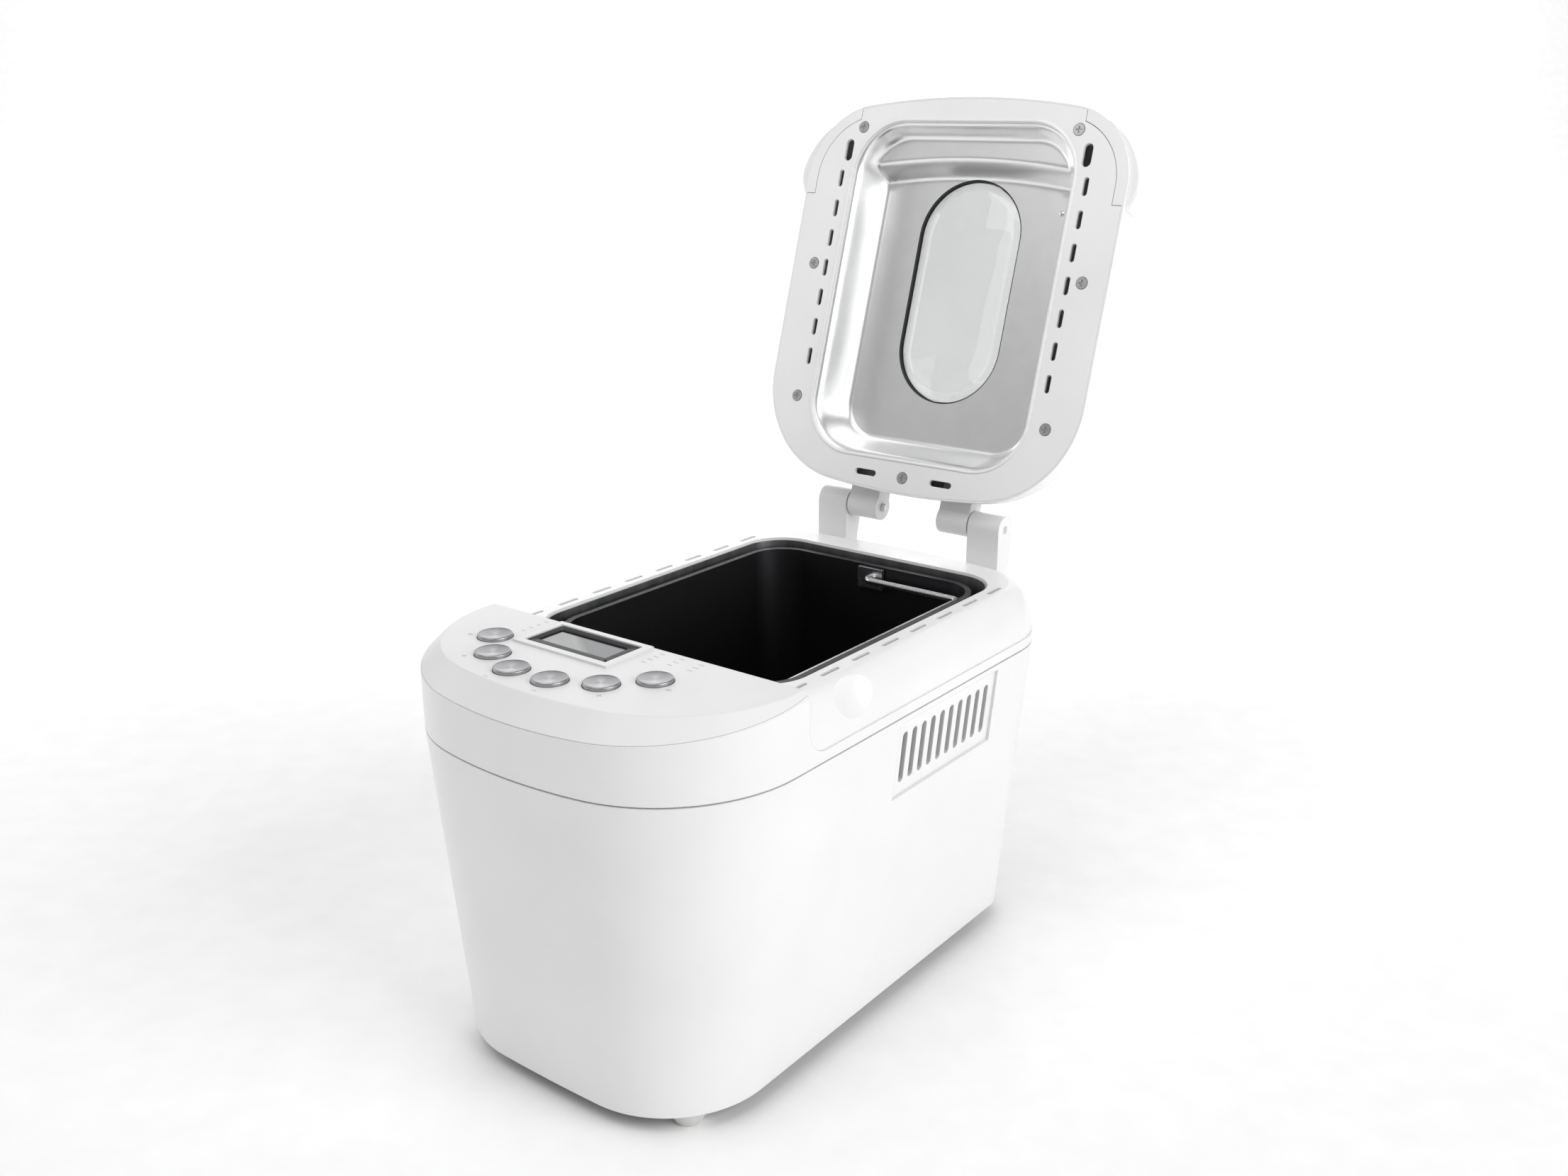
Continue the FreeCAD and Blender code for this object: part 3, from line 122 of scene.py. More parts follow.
def moulded_plastic(name, colour, roughness, coat=0.0, grain=900.0, edge=0.0, specular=0.5):
    """Moulded plastic: faint cloudiness in the colour, uneven gloss and a fine moulded grain."""
    material, tree, shader = new_material(name)
    where = coordinates(tree)
    cloud = noise(tree, where, 14.0, 3.0)
    tint = ramp(tree, cloud, [(0.3, scaled(colour, 0.97)), (0.7, scaled(colour, 1.02))])
    tree.links.new(tint, shader.inputs["Base Color"])
    haze = noise(tree, where, 60.0, 4.0)
    tree.links.new(spread(tree, haze, roughness * 0.85, roughness * 1.15), shader.inputs["Roughness"])
    shader.inputs["Coat Weight"].default_value = coat
    shader.inputs["Coat Roughness"].default_value = 0.12
    shader.inputs["IOR"].default_value = 1.48
    shader.inputs["Specular IOR Level"].default_value = specular
    bump(tree, shader, noise(tree, where, grain, 2.0), 0.12, 0.00004, edge)
    return material


def metal(name, colour, roughness, stretch=(1, 1, 1), scale=300.0, strength=0.1, streak=0.25, contrast=0.1):
    """Metal with grain drawn out along one axis, or even when stretch is 1, 1, 1."""
    material, tree, shader = new_material(name)
    where = coordinates(tree, stretch)
    grain = noise(tree, where, scale, 4.0, 0.6)
    darker, lighter = scaled(colour, 1 - contrast), scaled(colour, 1 + contrast / 2)
    tint = ramp(tree, grain, [(0.25, darker), (0.75, lighter)])
    tree.links.new(tint, shader.inputs["Base Color"])
    low, high = roughness * (1 - streak), roughness * (1 + streak)
    tree.links.new(spread(tree, grain, low, high), shader.inputs["Roughness"])
    shader.inputs["Metallic"].default_value = 1.0
    bump(tree, shader, grain, strength, 0.00003)
    return material


SOFT_EDGE = 0.0007          # radius that the edges of the white plastic seem to have, in metres

WHITE = moulded_plastic("white_plastic", (0.80, 0.80, 0.80), 0.32, coat=0.2, edge=SOFT_EDGE)
# painted light: the casing's white plastic made brighter for the lid, standing in for light that the lid's
# face does not get
LID_WHITE_PAINTED_LIGHT = moulded_plastic("lid_plastic_painted_light", (0.90, 0.90, 0.90), 0.32, coat=0.2, edge=SOFT_EDGE)
PANEL = moulded_plastic("panel_plastic", (0.75, 0.75, 0.755), 0.42, grain=1500.0, edge=0.0006)
HINGE = moulded_plastic("hinge_plastic", (0.80, 0.80, 0.805), 0.42, edge=SOFT_EDGE)
DARK = moulded_plastic("dark_plastic", (0.035, 0.035, 0.035), 0.5)
FOOT = moulded_plastic("foot_rubber", (0.62, 0.62, 0.61), 0.6)
RUBBER = moulded_plastic("black_rubber", (0.03, 0.03, 0.03), 0.65)
BOARD = moulded_plastic("circuit_board", (0.03, 0.16, 0.07), 0.45)
PULLEY = moulded_plastic("pulley_plastic", (0.08, 0.08, 0.085), 0.5)
OVEN = metal("oven_sheet", (0.52, 0.53, 0.54), 0.36, (1, 1, 0.1), 200.0)
STEEL = metal("plain_steel", (0.66, 0.66, 0.67), 0.28, scale=500.0)
BRONZE = metal("bush_bronze", (0.55, 0.36, 0.16), 0.35)
CAST = metal("cast_aluminium", (0.48, 0.49, 0.50), 0.5, strength=0.3)
LINER = metal("liner_aluminium", (0.93, 0.932, 0.935), 0.32,
              scale=90.0, strength=0.02, streak=0.08, contrast=0.02)
NONSTICK = metal("nonstick_coating", (0.055, 0.055, 0.06), 0.42, scale=1200.0, strength=0.25)
DISPLAY = moulded_plastic("display_cover", (0.006, 0.006, 0.007), 0.3, specular=0.08)
MARKS = moulded_plastic("panel_print", (0.36, 0.37, 0.38), 0.5)


def glass(name, colour, roughness):
    """Clear glass with faint smears in its colour and gloss."""
    material, tree, shader = new_material(name)
    where = coordinates(tree)
    smear = noise(tree, where, 25.0, 5.0)
    tint = ramp(tree, smear, [(0.3, scaled(colour, 0.98)), (0.7, colour)])
    tree.links.new(tint, shader.inputs["Base Color"])
    tree.links.new(spread(tree, smear, roughness * 0.6, roughness * 1.6), shader.inputs["Roughness"])
    shader.inputs["Transmission Weight"].default_value = 1.0
    shader.inputs["IOR"].default_value = 1.5
    return material


GLASS = glass("window_glass", (0.70, 0.705, 0.705), 0.03)


def turned_metal(name, colour, roughness):
    """Metal faced on a lathe: fine rings round the middle and highlights that fan out from it."""
    material, tree, shader = new_material(name)
    where = coordinates(tree)
    rings = tree.nodes.new("ShaderNodeTexWave")
    rings.wave_type = "RINGS"
    rings.rings_direction = "Z"
    rings.inputs["Scale"].default_value = 700.0
    rings.inputs["Distortion"].default_value = 0.6
    rings.inputs["Detail"].default_value = 2.0
    tree.links.new(where, rings.inputs["Vector"])
    tint = ramp(tree, rings.outputs["Fac"], [(0.2, scaled(colour, 0.92)), (0.8, scaled(colour, 1.04))])
    tree.links.new(tint, shader.inputs["Base Color"])
    around = tree.nodes.new("ShaderNodeTangent")
    around.direction_type = "RADIAL"
    around.axis = "Z"
    tree.links.new(around.outputs["Tangent"], shader.inputs["Tangent"])
    shader.inputs["Metallic"].default_value = 1.0
    shader.inputs["Anisotropic"].default_value = 0.92
    smear = noise(tree, where, 220.0, 3.0)
    tree.links.new(spread(tree, smear, roughness * 0.9, roughness * 1.1), shader.inputs["Roughness"])
    bump(tree, shader, rings.outputs["Fac"], 0.08, 0.00002)
    return material


def screen_with_painted_reflection(name):
    """Grey display: a lighter and a darker half with a soft slanting border; the lighter half is a painted
    reflection on the screen's film.
    """
    material, tree, shader = new_material(name)
    source = tree.nodes.new("ShaderNodeTexCoord")
    split = tree.nodes.new("ShaderNodeSeparateXYZ")
    tree.links.new(source.outputs["Object"], split.inputs["Vector"])
    slant = tree.nodes.new("ShaderNodeMath")
    slant.operation = "MULTIPLY_ADD"
    slant.inputs[1].default_value = 1.3
    tree.links.new(split.outputs["Y"], slant.inputs[0])
    tree.links.new(split.outputs["X"], slant.inputs[2])
    placed = tree.nodes.new("ShaderNodeMapRange")
    placed.inputs["From Min"].default_value = -0.012
    placed.inputs["From Max"].default_value = 0.012
    tree.links.new(slant.outputs["Value"], placed.inputs["Value"])
    # painted reflection: the lighter grey on one side of the slanting border
    tint = ramp(tree, placed.outputs["Result"], [(0.3, (0.30, 0.31, 0.31)), (0.6, (0.17, 0.175, 0.18))])
    tree.links.new(tint, shader.inputs["Base Color"])
    haze = noise(tree, source.outputs["Object"], 90.0, 3.0)
    tree.links.new(spread(tree, haze, 0.16, 0.24), shader.inputs["Roughness"])
    shader.inputs["Specular IOR Level"].default_value = 0.25
    bump(tree, shader, haze, 0.02, 0.00002)
    return material


TURNED = turned_metal("turned_metal", (0.36, 0.36, 0.37), 0.26)
SCREEN_PAINTED_REFLECTION = screen_with_painted_reflection("display_screen_painted_reflection")

SLOT_MATERIALS = {
    "white_shell": WHITE, "panel_grey": PANEL, "hinge_grey": HINGE, "button_metal": TURNED,
    "display": DISPLAY, "dark_plastic": DARK, "rubber": RUBBER, "board_green": BOARD,
    "oven_metal": OVEN, "steel": STEEL, "brass": BRONZE, "pulley_plastic": PULLEY,
    "lid_aluminium": LINER, "lid_glass": GLASS, "nonstick": NONSTICK, "cast_aluminium": CAST,
    "pale_rubber": FOOT,
}

LID_MOULDINGS = ("lid_frame", "lid_shell", "lid_grip_left", "lid_grip_right")


def dress_frame():
    """Carried-over nodes get the material of their slot, and the lid's mouldings the casing's white painted
    brighter, as painted light.
    """
    for part in frame["record"]["subparts"]:
        node = frame["nodes"][part["node"]]
        for material_slot in node.material_slots:
            material_slot.material = SLOT_MATERIALS[part["material_slot"]]
    for name in LID_MOULDINGS:
        for material_slot in frame["nodes"][name].material_slots:
            material_slot.material = LID_WHITE_PAINTED_LIGHT


dress_frame()

# ---- replacement pieces and small details ---------------------------------------------
JOINTS = {joint["name"]: joint for joint in frame["record"]["behaviour"]["joints"]}
HINGE_AT = Vector(JOINTS["lid_hinge"]["pos_m"])
OPEN_ANGLE = math.radians(-JOINTS["lid_hinge"]["range_deg"][0])

# The lid is drawn closed, in millimetres, with y = 0 at the casing's middle, and then swung open.
CASING_LOW, CASING_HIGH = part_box("lower_body")
CASING_Y = round((CASING_LOW.y + CASING_HIGH.y) / 2 / MM, 2)
DRAWN_HINGE = Vector((0.0, HINGE_AT.y / MM - CASING_Y, HINGE_AT.z / MM))
SWING = (
    Matrix.Translation(HINGE_AT)
    @ Matrix.Rotation(-OPEN_ANGLE, 4, "X")
    @ Matrix.Scale(MM, 4)
    @ Matrix.Translation(-DRAWN_HINGE)
)
TO_METRES = Matrix.Scale(MM, 4)


def closed_box(name):
    """Lowest and highest corner of a lid node as it is drawn, to a hundredth of a millimetre."""
    back = SWING.inverted()
    corners = [back @ vertex.co for vertex in frame["nodes"][name].data.vertices]
    return [
        tuple(round(pick(corner[axis] for corner in corners), 2) for axis in range(3))
        for pick in (min, max)
    ]


FRAME_LOW, FRAME_HIGH = closed_box("lid_frame")
LINER_LOW, LINER_HIGH = closed_box("lid_liner")
SEAL_LOW, SEAL_HIGH = closed_box("window_seal")

LID_Z = FRAME_LOW[2]        # face of the closed lid's frame
RECESS_LOW = FRAME_HIGH[2]  # back of the frame, where the liner starts
LINER_SHEET = 0.8
LINER_FLANGE = 5.0          # rim behind the frame, round the mouth of the recess
LINER_HALF = (LINER_HIGH[0] - LINER_FLANGE, (LINER_HIGH[1] - LINER_LOW[1]) / 2 - LINER_FLANGE)
LINER_MIDDLE = (LINER_HIGH[1] + LINER_LOW[1]) / 2
LINER_CORNER = 34.0
LINER_DEEP = 24.5
LINER_SHELF = 11.0          # depth over the shelf at the front end
SHELF_EDGE_Y = -41.0
SHELF_BOW = 6.0             # the shelf's edge bulges forward by this much in the middle
SHELF_BOW_HALF = 75.0
SHELF_RAMP = 12.0           # length of the slope from the shelf to the deep floor
WALL_SLOPE = 2.7            # depth gained for each millimetre in from the mouth
WALL_START = 1.5
FLOOR_BLEND = 9.0           # soft bend between wall and floor
MOUTH_BLEND = 4.0           # soft bend between flange and wall
WALL_REACH = 18.0           # the liner's rings follow the mouth this far in

SEAL_WIDTH = 3.0
SEAL_SHOWS = 1.0            # width of seal left bare between liner and glass
WINDOW_HALF = (SEAL_HIGH[0] - SEAL_WIDTH, (SEAL_HIGH[1] - SEAL_LOW[1]) / 2 - SEAL_WIDTH)
WINDOW_Y = (SEAL_HIGH[1] + SEAL_LOW[1]) / 2
WINDOW_Z = SEAL_LOW[2]
WINDOW_GLASS = SEAL_HIGH[2] - SEAL_LOW[2]
WINDOW_DOME = 2.0
DOME_EDGE = 5.0             # the dome ends this far inside the rim
STRAIGHT_BIT = 0.01         # left between two quarter circles, so that no two points coincide


def new_piece(name, build, material, body, matrix, replaced=(), place=(0, 0, 0)):
    """Finishes a bmesh as a smooth-shaded piece that stands at place and rides on a body."""
    bmesh.ops.recalc_face_normals(build, faces=build.faces)
    mesh = bpy.data.meshes.new(name)
    build.to_mesh(mesh)
    build.free()
    mesh.transform(matrix)
    for polygon in mesh.polygons:
        polygon.use_smooth = True
    mesh.set_sharp_from_angle(angle=math.radians(40))
    for entry in material if isinstance(material, tuple) else (material,):
        mesh.materials.append(entry)
    piece = bpy.data.objects.new(name, mesh)
    piece.location = place
    bpy.context.scene.collection.objects.link(piece)
    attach(piece, body)
    if replaced:
        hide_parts(*replaced)


def top_middle(name):
    """Middle of the top of a node's box."""
    low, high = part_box(name)
    return Vector(((low.x + high.x) / 2, (low.y + high.y) / 2, high.z))


QUARTER = math.radians(90)
CORNER_SIGNS = ((1, 1), (-1, 1), (-1, -1), (1, -1))


def rounded_outline(half_x, half_y, corner, middle_y, count=240):
    """Closed outline of a rounded rectangle: four arcs and four sides of count / 8 points each."""
    def on_arc(quarter, turn):
        sign_x, sign_y = CORNER_SIGNS[quarter % 4]
        centre = Vector((sign_x * (half_x - corner), middle_y + sign_y * (half_y - corner)))
        return centre + corner * Vector((math.cos(turn), math.sin(turn)))

    steps = count // 8
    outline = []
    for quarter in range(4):
        for step in range(steps):
            outline.append(on_arc(quarter, QUARTER * quarter + QUARTER * step / steps))
        side_start = on_arc(quarter, QUARTER * (quarter + 1))
        side_end = on_arc(quarter + 1, QUARTER * (quarter + 1))
        for step in range(steps):
            outline.append(side_start.lerp(side_end, step / steps))
    return outline


def mouth_outline(grow):
    """Outline of the recess's mouth, moved outwards by grow."""
    return rounded_outline(LINER_HALF[0] + grow, LINER_HALF[1] + grow, LINER_CORNER + grow, LINER_MIDDLE)


def window_outline(grow, count):
    """Outline of the window, straight sides between two half circles, moved outwards by grow."""
    half_x = WINDOW_HALF[0] + grow
    return rounded_outline(half_x, WINDOW_HALF[1] + grow, half_x - STRAIGHT_BIT, WINDOW_Y, count)


def add_ring(build, outline, height):
    """Vertices along an outline; height is a number, or a function of the point."""
    heights = height if callable(height) else (lambda point: height)
    return [build.verts.new((point.x, point.y, heights(point))) for point in outline]


def bridge(build, low, high):
    """Band of faces between two closed rings."""
    for a, b, c, d in zip(low, low[1:] + low[:1], high[1:] + high[:1], high):
        build.faces.new((a, b, c, d))


def bridge_all(build, rings):
    for low, high in zip(rings, rings[1:]):
        bridge(build, low, high)


def cap_ends(build, rings):
    """Closes the last and the first ring, and returns the face on the last."""
    face = build.faces.new(rings[-1])
    build.faces.new(list(reversed(rings[0])))
    return face


def soft_min(a, b, blend):
    share = max(blend - abs(a - b), 0.0) / blend
    return min(a, b) - share * share * blend / 4


def soft_step(value):
    value = min(max(value, 0.0), 1.0)
    return value * value * (3 - 2 * value)


def inside_mouth(point):
    """Distance from the edge of the recess mouth, positive inside it."""
    across = abs(point.x) - (LINER_HALF[0] - LINER_CORNER)
    along = abs(point.y - LINER_MIDDLE) - (LINER_HALF[1] - LINER_CORNER)
    outside = math.hypot(max(across, 0.0), max(along, 0.0))
    return LINER_CORNER - outside - min(max(across, along), 0.0)


def liner_height(point):
    """Pressed form: soft wall, a shallow shelf at the front end and the deep floor behind it."""
    shelf_edge = SHELF_EDGE_Y - SHELF_BOW * (1 - (point.x / SHELF_BOW_HALF) ** 2)
    past_shelf = soft_step((point.y - shelf_edge + SHELF_RAMP / 4) / SHELF_RAMP)
    floor = LINER_SHELF + (LINER_DEEP - LINER_SHELF) * past_shelf
    wall = WALL_SLOPE * (inside_mouth(point) - WALL_START)
    pressed = soft_min(floor, wall, FLOOR_BLEND)
    return RECESS_LOW - soft_min(-pressed, 0.0, MOUTH_BLEND)


def make_liner():
    """Pressed sheet with a flange round its mouth and an opening for the window."""
    wall_steps, floor_steps = 22, 18
    rings = []
    for step in range(wall_steps + 1):
        rings.append(mouth_outline(LINER_FLANGE - (LINER_FLANGE + WALL_REACH) * step / wall_steps))
    last = rings[-1]
    opening = window_outline(SEAL_SHOWS, len(last))
    for step in range(1, floor_steps + 1):
        rings.append([a.lerp(b, step / floor_steps) for a, b in zip(last, opening)])
    build = bmesh.new()
    front = [add_ring(build, ring, liner_height) for ring in rings]
    back = [add_ring(build, ring, lambda point: liner_height(point) + LINER_SHEET) for ring in rings]
    bridge_all(build, front)
    bridge_all(build, back)
    bridge(build, front[-1], back[-1])
    bridge(build, back[0], front[0])
    new_piece("lid_liner_pressed", build, LINER, "lid", SWING, ("lid_liner",))


def make_window():
    """Thick inner glass with a slight dome, a ground bevel and a rounded rim."""
    dome_steps = 9
    dome_first, dome_last = 1.0 - WINDOW_HALF[0], -DOME_EDGE - 0.4
    profile = []
    for step in range(dome_steps + 1):
        grow = dome_first + (dome_last - dome_first) * step / dome_steps
        share = (WINDOW_HALF[0] + grow) / (WINDOW_HALF[0] - DOME_EDGE)
        profile.append((grow, -WINDOW_DOME * (1 - share ** 2)))
    profile += [(-DOME_EDGE, 0.12), (-0.9, 1.5), (-0.35, 1.9), (-0.2, 2.3), (-0.2, WINDOW_GLASS - 0.5),
                (-0.6, WINDOW_GLASS - 0.1), (-1.2, WINDOW_GLASS)]
    build = bmesh.new()
    rings = [add_ring(build, window_outline(grow, 160), WINDOW_Z + rise) for grow, rise in profile]
    bridge_all(build, rings)
    cap_ends(build, rings)
    new_piece("window_lens", build, GLASS, "lid", SWING, ("inner_window",))


BEAD_RADIUS = 1.0
BEAD_OUT = 1.1              # middle of the lip, outside the mouth
BEAD_PROUD = 0.55
BEAD_SUNK = 0.05            # how far the lip's edges reach into the frame


def make_frame_bead():
    """Thin rounded lip on the frame, round the mouth of the recess."""
    build = bmesh.new()
    steps = 12
    rings = []
    for step in range(steps + 1):
        turn = math.pi * step / steps
        outline = mouth_outline(BEAD_OUT + BEAD_RADIUS * math.cos(turn))
        rings.append(add_ring(build, outline, LID_Z + BEAD_SUNK - BEAD_PROUD * math.sin(turn)))
    bridge_all(build, rings)
    bridge(build, rings[-1], rings[0])
    new_piece("frame_bead", build, LID_WHITE_PAINTED_LIGHT, "lid", SWING)


def lathe(build, profile, count=96):
    """Rings round Z through the (radius, height) points of a profile."""
    rings = []
    for radius, height in profile:
        ring = []
        for index in range(count):
            turn = 2 * math.pi * index / count
            ring.append(build.verts.new((radius * math.cos(turn), radius * math.sin(turn), height)))
        rings.append(ring)
    bridge_all(build, rings)
    return rings


RIVETS = ((62.0, -20.0), (68.0, -10.0), (68.0, 74.0))
RIVET_PROFILE = ((1.7, 0.3), (1.7, -0.1), (1.35, -0.45), (0.7, -0.6))


def make_rivets():
    """Three flat-headed rivets on the right side of the liner, square to its surface."""
    build = bmesh.new()
    for x, y in RIVETS:
        seat = liner_height(Vector((x, y)))
        slope = liner_height(Vector((x + 0.5, y))) - liner_height(Vector((x - 0.5, y)))
        lean = Matrix.Translation((x, y, seat)) @ Matrix.Rotation(-math.atan(slope), 4, "Y")
        rings = lathe(build, RIVET_PROFILE, 24)
        cap_ends(build, rings)
        for ring in rings:
            for vert in ring:
                vert.co = lean @ vert.co
    new_piece("liner_rivets", build, STEEL, "lid", SWING)


BUTTON_RADIUS = 9.2
BUTTON_RIM = 8.3            # radius of the dish in the button's face
BUTTON_ROUNDING = 0.7
BUTTON_DISH_RADIUS = 42.0
BUTTON_SUNK = 0.1           # the dish's edge lies this far under the top
BUTTON_SKIRT = 4.4


def dish_rise(radius):
    """Height of the dish at a radius, over its middle."""
    return BUTTON_DISH_RADIUS - math.sqrt(BUTTON_DISH_RADIUS ** 2 - radius ** 2)


def make_button(node):
    """Turned cap with a shallow dish, a rounded rim and a skirt that goes down into the panel."""
    dish_steps, rim_steps = 12, 6
    middle_z = -BUTTON_SUNK - dish_rise(BUTTON_RIM)
    profile = []
    for step in range(1, dish_steps + 1):
        radius = BUTTON_RIM * step / dish_steps
        profile.append((radius, middle_z + dish_rise(radius)))
    for step in range(rim_steps + 1):
        turn = math.radians(115 - 115 * step / rim_steps)
        profile.append((BUTTON_RADIUS - BUTTON_ROUNDING * (1 - math.cos(turn)),
                        -BUTTON_ROUNDING * (1 - math.sin(turn))))
    profile += [(BUTTON_RADIUS, -BUTTON_SKIRT), (BUTTON_RADIUS - 1.0, -BUTTON_SKIRT - 0.4)]
    build = bmesh.new()
    rings = lathe(build, profile)
    middle = build.verts.new((0, 0, middle_z))
    for a, b in zip(rings[0], rings[0][1:] + rings[0][:1]):
        build.faces.new((middle, a, b))
    build.faces.new(list(reversed(rings[-1])))
    new_piece(node + "_cap", build, TURNED, node, TO_METRES, (node,), top_middle(node))


def make_display():
    """Black glossy surround with a sunk grey screen."""
    low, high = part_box("lcd_window")
    half_x, half_y = (high.x - low.x) / 2 / MM, (high.y - low.y) / 2 / MM
    thick = (high.z - low.z) / MM
    profile = [(0.0, -thick), (0.0, -0.35), (-0.35, 0.0), (-5.2, 0.0), (-5.5, -0.15), (-5.7, -0.6)]
    build = bmesh.new()
    rings = []
    for grow, height in profile:
        corner = max(2.0 + grow * 0.3, 0.6)
        outline = rounded_outline(half_x + grow, half_y + grow, corner, 0.0, 80)
        rings.append(add_ring(build, outline, height))
    bridge_all(build, rings)
    screen = cap_ends(build, rings)
    screen.material_index = 1
    new_piece("display_window", build, (DISPLAY, SCREEN_PAINTED_REFLECTION), "casing", TO_METRES,
              ("lcd_window",), top_middle("lcd_window"))


PRINT_THICK = 0.06
PRINT_PROUD = 0.04
SIGN_DISTANCE = 14.2        # from a button's middle to its sign
SIGN_HALF = 1.5
SIGN_WIDTH = 0.45
SIGN_FAN_Y = 42.0           # the signs point away from a place this far behind the buttons
DASH = 3.4
DASH_WIDTH = 0.5
DASH_COLUMNS = (4, 3, 3)    # dashes in each column on the right of the display
LEFT_DASH = 2.6
LEFT_DASHES = 4


def add_stroke(build, x0, y0, x1, y1, width, height):
    """Thin printed line between two points, as a closed slab."""
    along = Vector((x1 - x0, y1 - y0, 0)).normalized()
    side = Vector((-along.y, along.x, 0)) * width / 2
    start, end = Vector((x0, y0, height)), Vector((x1, y1, height))
    corners = (start - side, end - side, end + side, start + side)
    high = [build.verts.new(corner) for corner in corners]
    low = [build.verts.new(corner - Vector((0, 0, PRINT_THICK))) for corner in corners]
    bridge(build, low, high)
    cap_ends(build, [low, high])


def add_signs(build, top):
    """A dash, a cross or a double dash beside each button."""
    places = [top_middle(name) / MM for name in BUTTONS]
    centre = sum(places, Vector()) / len(places) + Vector((0, SIGN_FAN_Y, 0))
    for index, place in enumerate(places):
        outward = Vector((place.x - centre.x, place.y - centre.y, 0)).normalized()
        spot = place + outward * SIGN_DISTANCE
        left, right = spot.x - SIGN_HALF, spot.x + SIGN_HALF
        add_stroke(build, left, spot.y, right, spot.y, SIGN_WIDTH, top)
        if index in (1, 4):
            add_stroke(build, spot.x, spot.y - SIGN_HALF, spot.x, spot.y + SIGN_HALF, SIGN_WIDTH, top + 0.01)
        if index in (0, 5):
            add_stroke(build, left, spot.y + 1.2, right, spot.y + 1.2, SIGN_WIDTH, top)


def add_dashes(build, top):
    """Columns of short dashes on both sides of the display."""
    low, high = (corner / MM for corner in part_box("lcd_bezel"))
    for column, rows in enumerate(DASH_COLUMNS):
        x = high.x + 7.0 + 13.0 * column
        for row in range(rows):
            y = high.y - 3.5 - 4.6 * row
            add_stroke(build, x, y, x + DASH, y, DASH_WIDTH, top)
    for row in range(LEFT_DASHES):
        x, y = low.x - 9.0, high.y - 4.0 - 5.5 * row
        add_stroke(build, x, y, x + LEFT_DASH, y, DASH_WIDTH, top)


def make_panel_print():
    """Plain printed marks on the panel."""
    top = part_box("panel_cap")[1].z / MM + PRINT_PROUD
    build = bmesh.new()
    add_signs(build, top)
    add_dashes(build, top)
    new_piece("panel_print", build, MARKS, "casing", TO_METRES)


BUTTONS = ["button_%d" % number for number in range(1, 7)]

make_liner()
make_window()
make_frame_bead()
make_rivets()
for button in BUTTONS:
    make_button(button)
make_display()
make_panel_print()

# ---- floor, light and camera -----------------------------------------------------------
FLOOR_TURN = math.radians(37.5)
FLOOR_HALF = 6.0            # half the floor's width, in metres, as all of these
FLOOR_FRONT = -3.0
FLOOR_BACK = 3.2
FLOOR_CURVE = 1.5
FLOOR_TOP = 5.0


def make_floor():
    """Pale floor that rises behind in a soft curve."""
    steps = 12
    profile = [(FLOOR_FRONT, 0.0), (FLOOR_BACK, 0.0)]
    for step in range(1, steps + 1):
        turn = QUARTER * step / steps
        profile.append((FLOOR_BACK + FLOOR_CURVE * math.sin(turn), FLOOR_CURVE * (1 - math.cos(turn))))
    profile.append((FLOOR_BACK + FLOOR_CURVE, FLOOR_TOP))
    build = bmesh.new()
    rows = [[build.verts.new((x, y, z)) for x in (-FLOOR_HALF, FLOOR_HALF)] for y, z in profile]
    for low, high in zip(rows, rows[1:]):
        build.faces.new((low[0], low[1], high[1], high[0]))
    mesh = bpy.data.meshes.new("floor")
    build.to_mesh(mesh)
    build.free()
    for polygon in mesh.polygons:
        polygon.use_smooth = True
    floor = bpy.data.objects.new("floor", mesh)
    bpy.context.scene.collection.objects.link(floor)
    floor.rotation_euler = (0, 0, FLOOR_TURN)
    material, tree, shader = new_material("floor_paper")
    speck = noise(tree, coordinates(tree), 40.0, 3.0)
    tint = ramp(tree, speck, [(0.3, (0.90, 0.90, 0.90)), (0.7, (0.93, 0.93, 0.93))])
    tree.links.new(tint, shader.inputs["Base Color"])
    shader.inputs["Roughness"].default_value = 0.85
    mesh.materials.append(material)


WORLD_LIGHT = 0.31          # what the surroundings give off
WORLD_SEEN = 0.97           # how pale they look behind the floor's edge

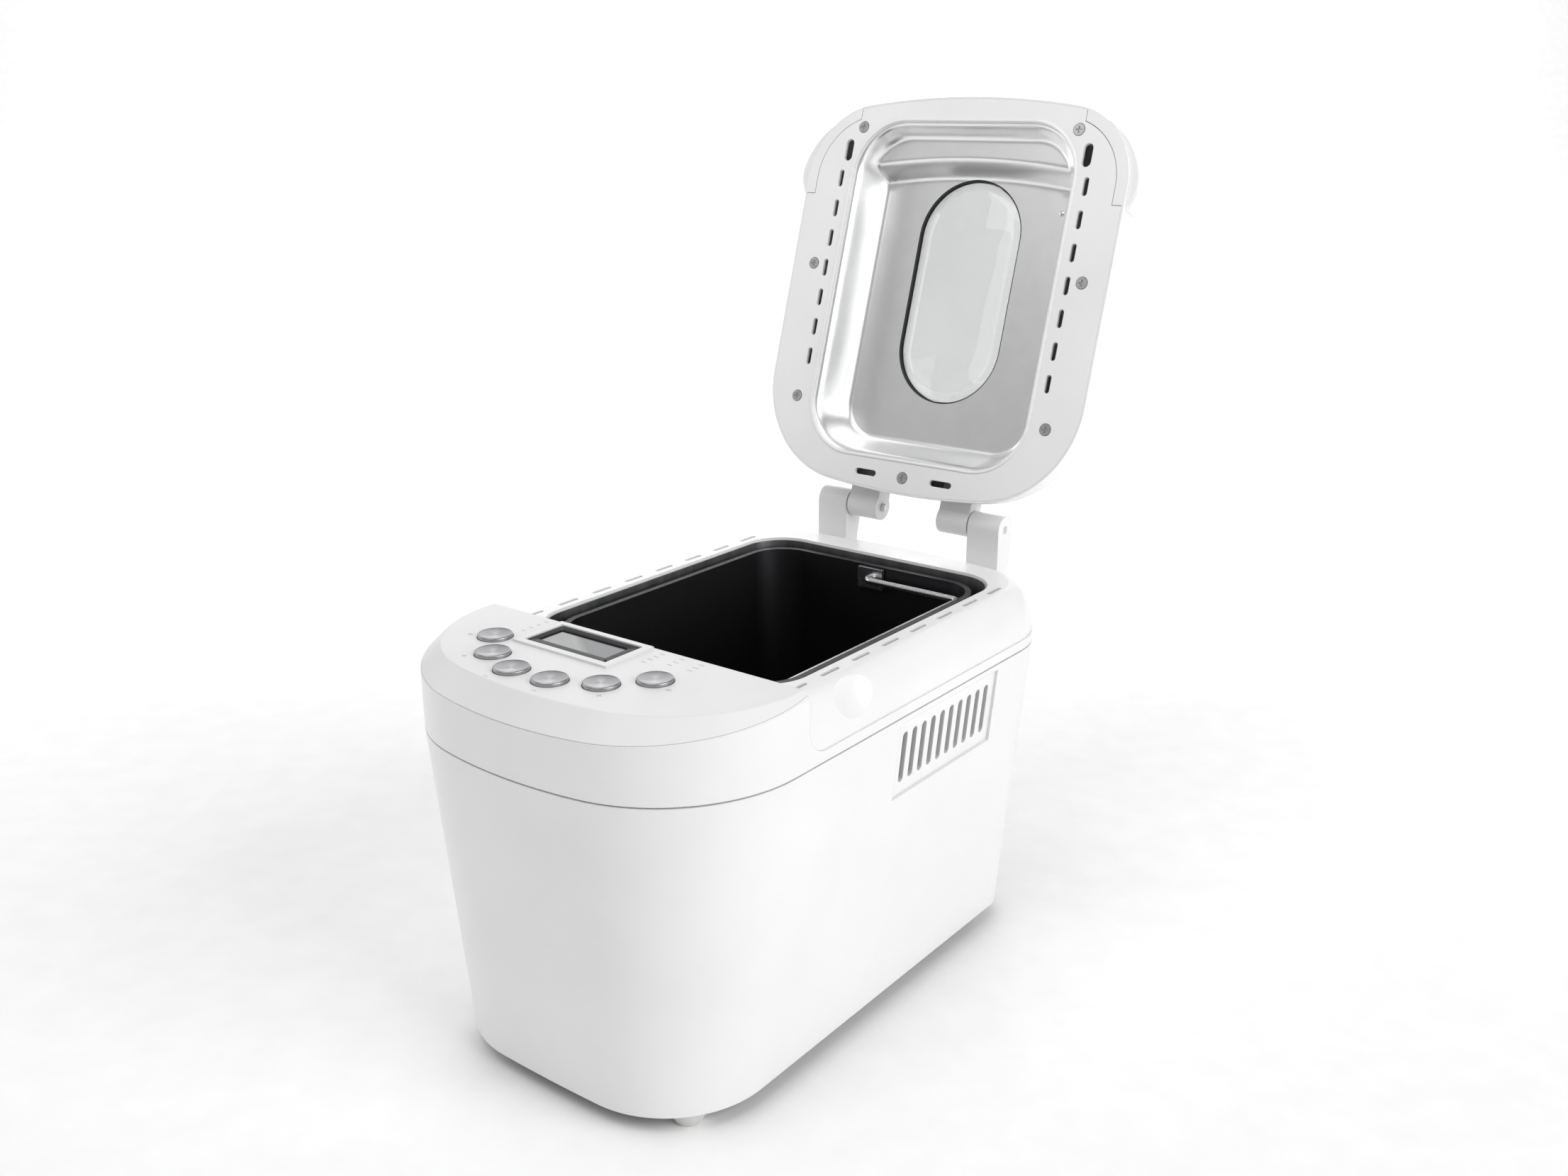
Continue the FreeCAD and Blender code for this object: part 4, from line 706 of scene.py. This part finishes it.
MACHINE = (0.0, 0.0, 0.2)
LAMPS = (                   # name, place, target, width and height, watts
    ("key_right", (2.4, 0.1, 1.3), MACHINE, (1.8, 1.8), 47.0),
    ("fill_left", (-2.3, -0.8, 1.0), MACHINE, (1.4, 1.4), 13.0),
    ("top", (0.0, -0.6, 2.5), MACHINE, (1.8, 1.8), 14.0),
    ("front_high", (-0.3, -1.6, 2.3), MACHINE, (1.6, 1.6), 12.0),
    ("backdrop", (-1.2, 1.5, 2.9), (-2.8, 3.6, 0.9), (3.0, 1.6), 140.0),
)


def light_world():
    """Even surroundings that the camera sees paler than they light the machine."""
    world = bpy.data.worlds.new("studio")
    world.use_nodes = True
    tree = world.node_tree
    background = tree.nodes["Background"]
    background.inputs["Color"].default_value = (1.0, 1.0, 1.0, 1)
    seen = tree.nodes.new("ShaderNodeLightPath")
    level = tree.nodes.new("ShaderNodeMapRange")
    level.inputs["To Min"].default_value = WORLD_LIGHT
    level.inputs["To Max"].default_value = WORLD_SEEN
    tree.links.new(seen.outputs["Is Camera Ray"], level.inputs["Value"])
    tree.links.new(level.outputs["Result"], background.inputs["Strength"])
    bpy.context.scene.world = world


def place_and_aim(holder, place, direction):
    """Links a lamp or camera at a place, looking in a direction with its top up."""
    holder.location = place
    holder.rotation_mode = "QUATERNION"
    holder.rotation_quaternion = direction.to_track_quat("-Z", "Y")
    bpy.context.scene.collection.objects.link(holder)


def make_lamp(name, place, target, size, watts):
    light = bpy.data.lights.new(name, "AREA")
    light.shape = "RECTANGLE"
    light.size, light.size_y = size
    light.energy = watts
    place_and_aim(bpy.data.objects.new(name, light), place, Vector(target) - Vector(place))


CAMERA_PLACE = Vector((0.50256, -0.66218, 0.49422))
CAMERA_AZIMUTH = math.radians(37.218)
CAMERA_PITCH = math.radians(17.834)
CAMERA_LENS = 34.636


def make_camera():
    camera = bpy.data.cameras.new("camera")
    camera.lens = CAMERA_LENS
    camera.sensor_width = 36.0
    camera.clip_start = 0.01
    camera.clip_end = 50.0
    holder = bpy.data.objects.new("camera", camera)
    flat = math.cos(CAMERA_PITCH)
    look = (-math.sin(CAMERA_AZIMUTH) * flat, math.cos(CAMERA_AZIMUTH) * flat, -math.sin(CAMERA_PITCH))
    place_and_aim(holder, CAMERA_PLACE, Vector(look))
    bpy.context.scene.camera = holder


make_floor()
light_world()
for lamp in LAMPS:
    make_lamp(*lamp)
make_camera()
bpy.context.scene.view_settings.view_transform = "Standard"
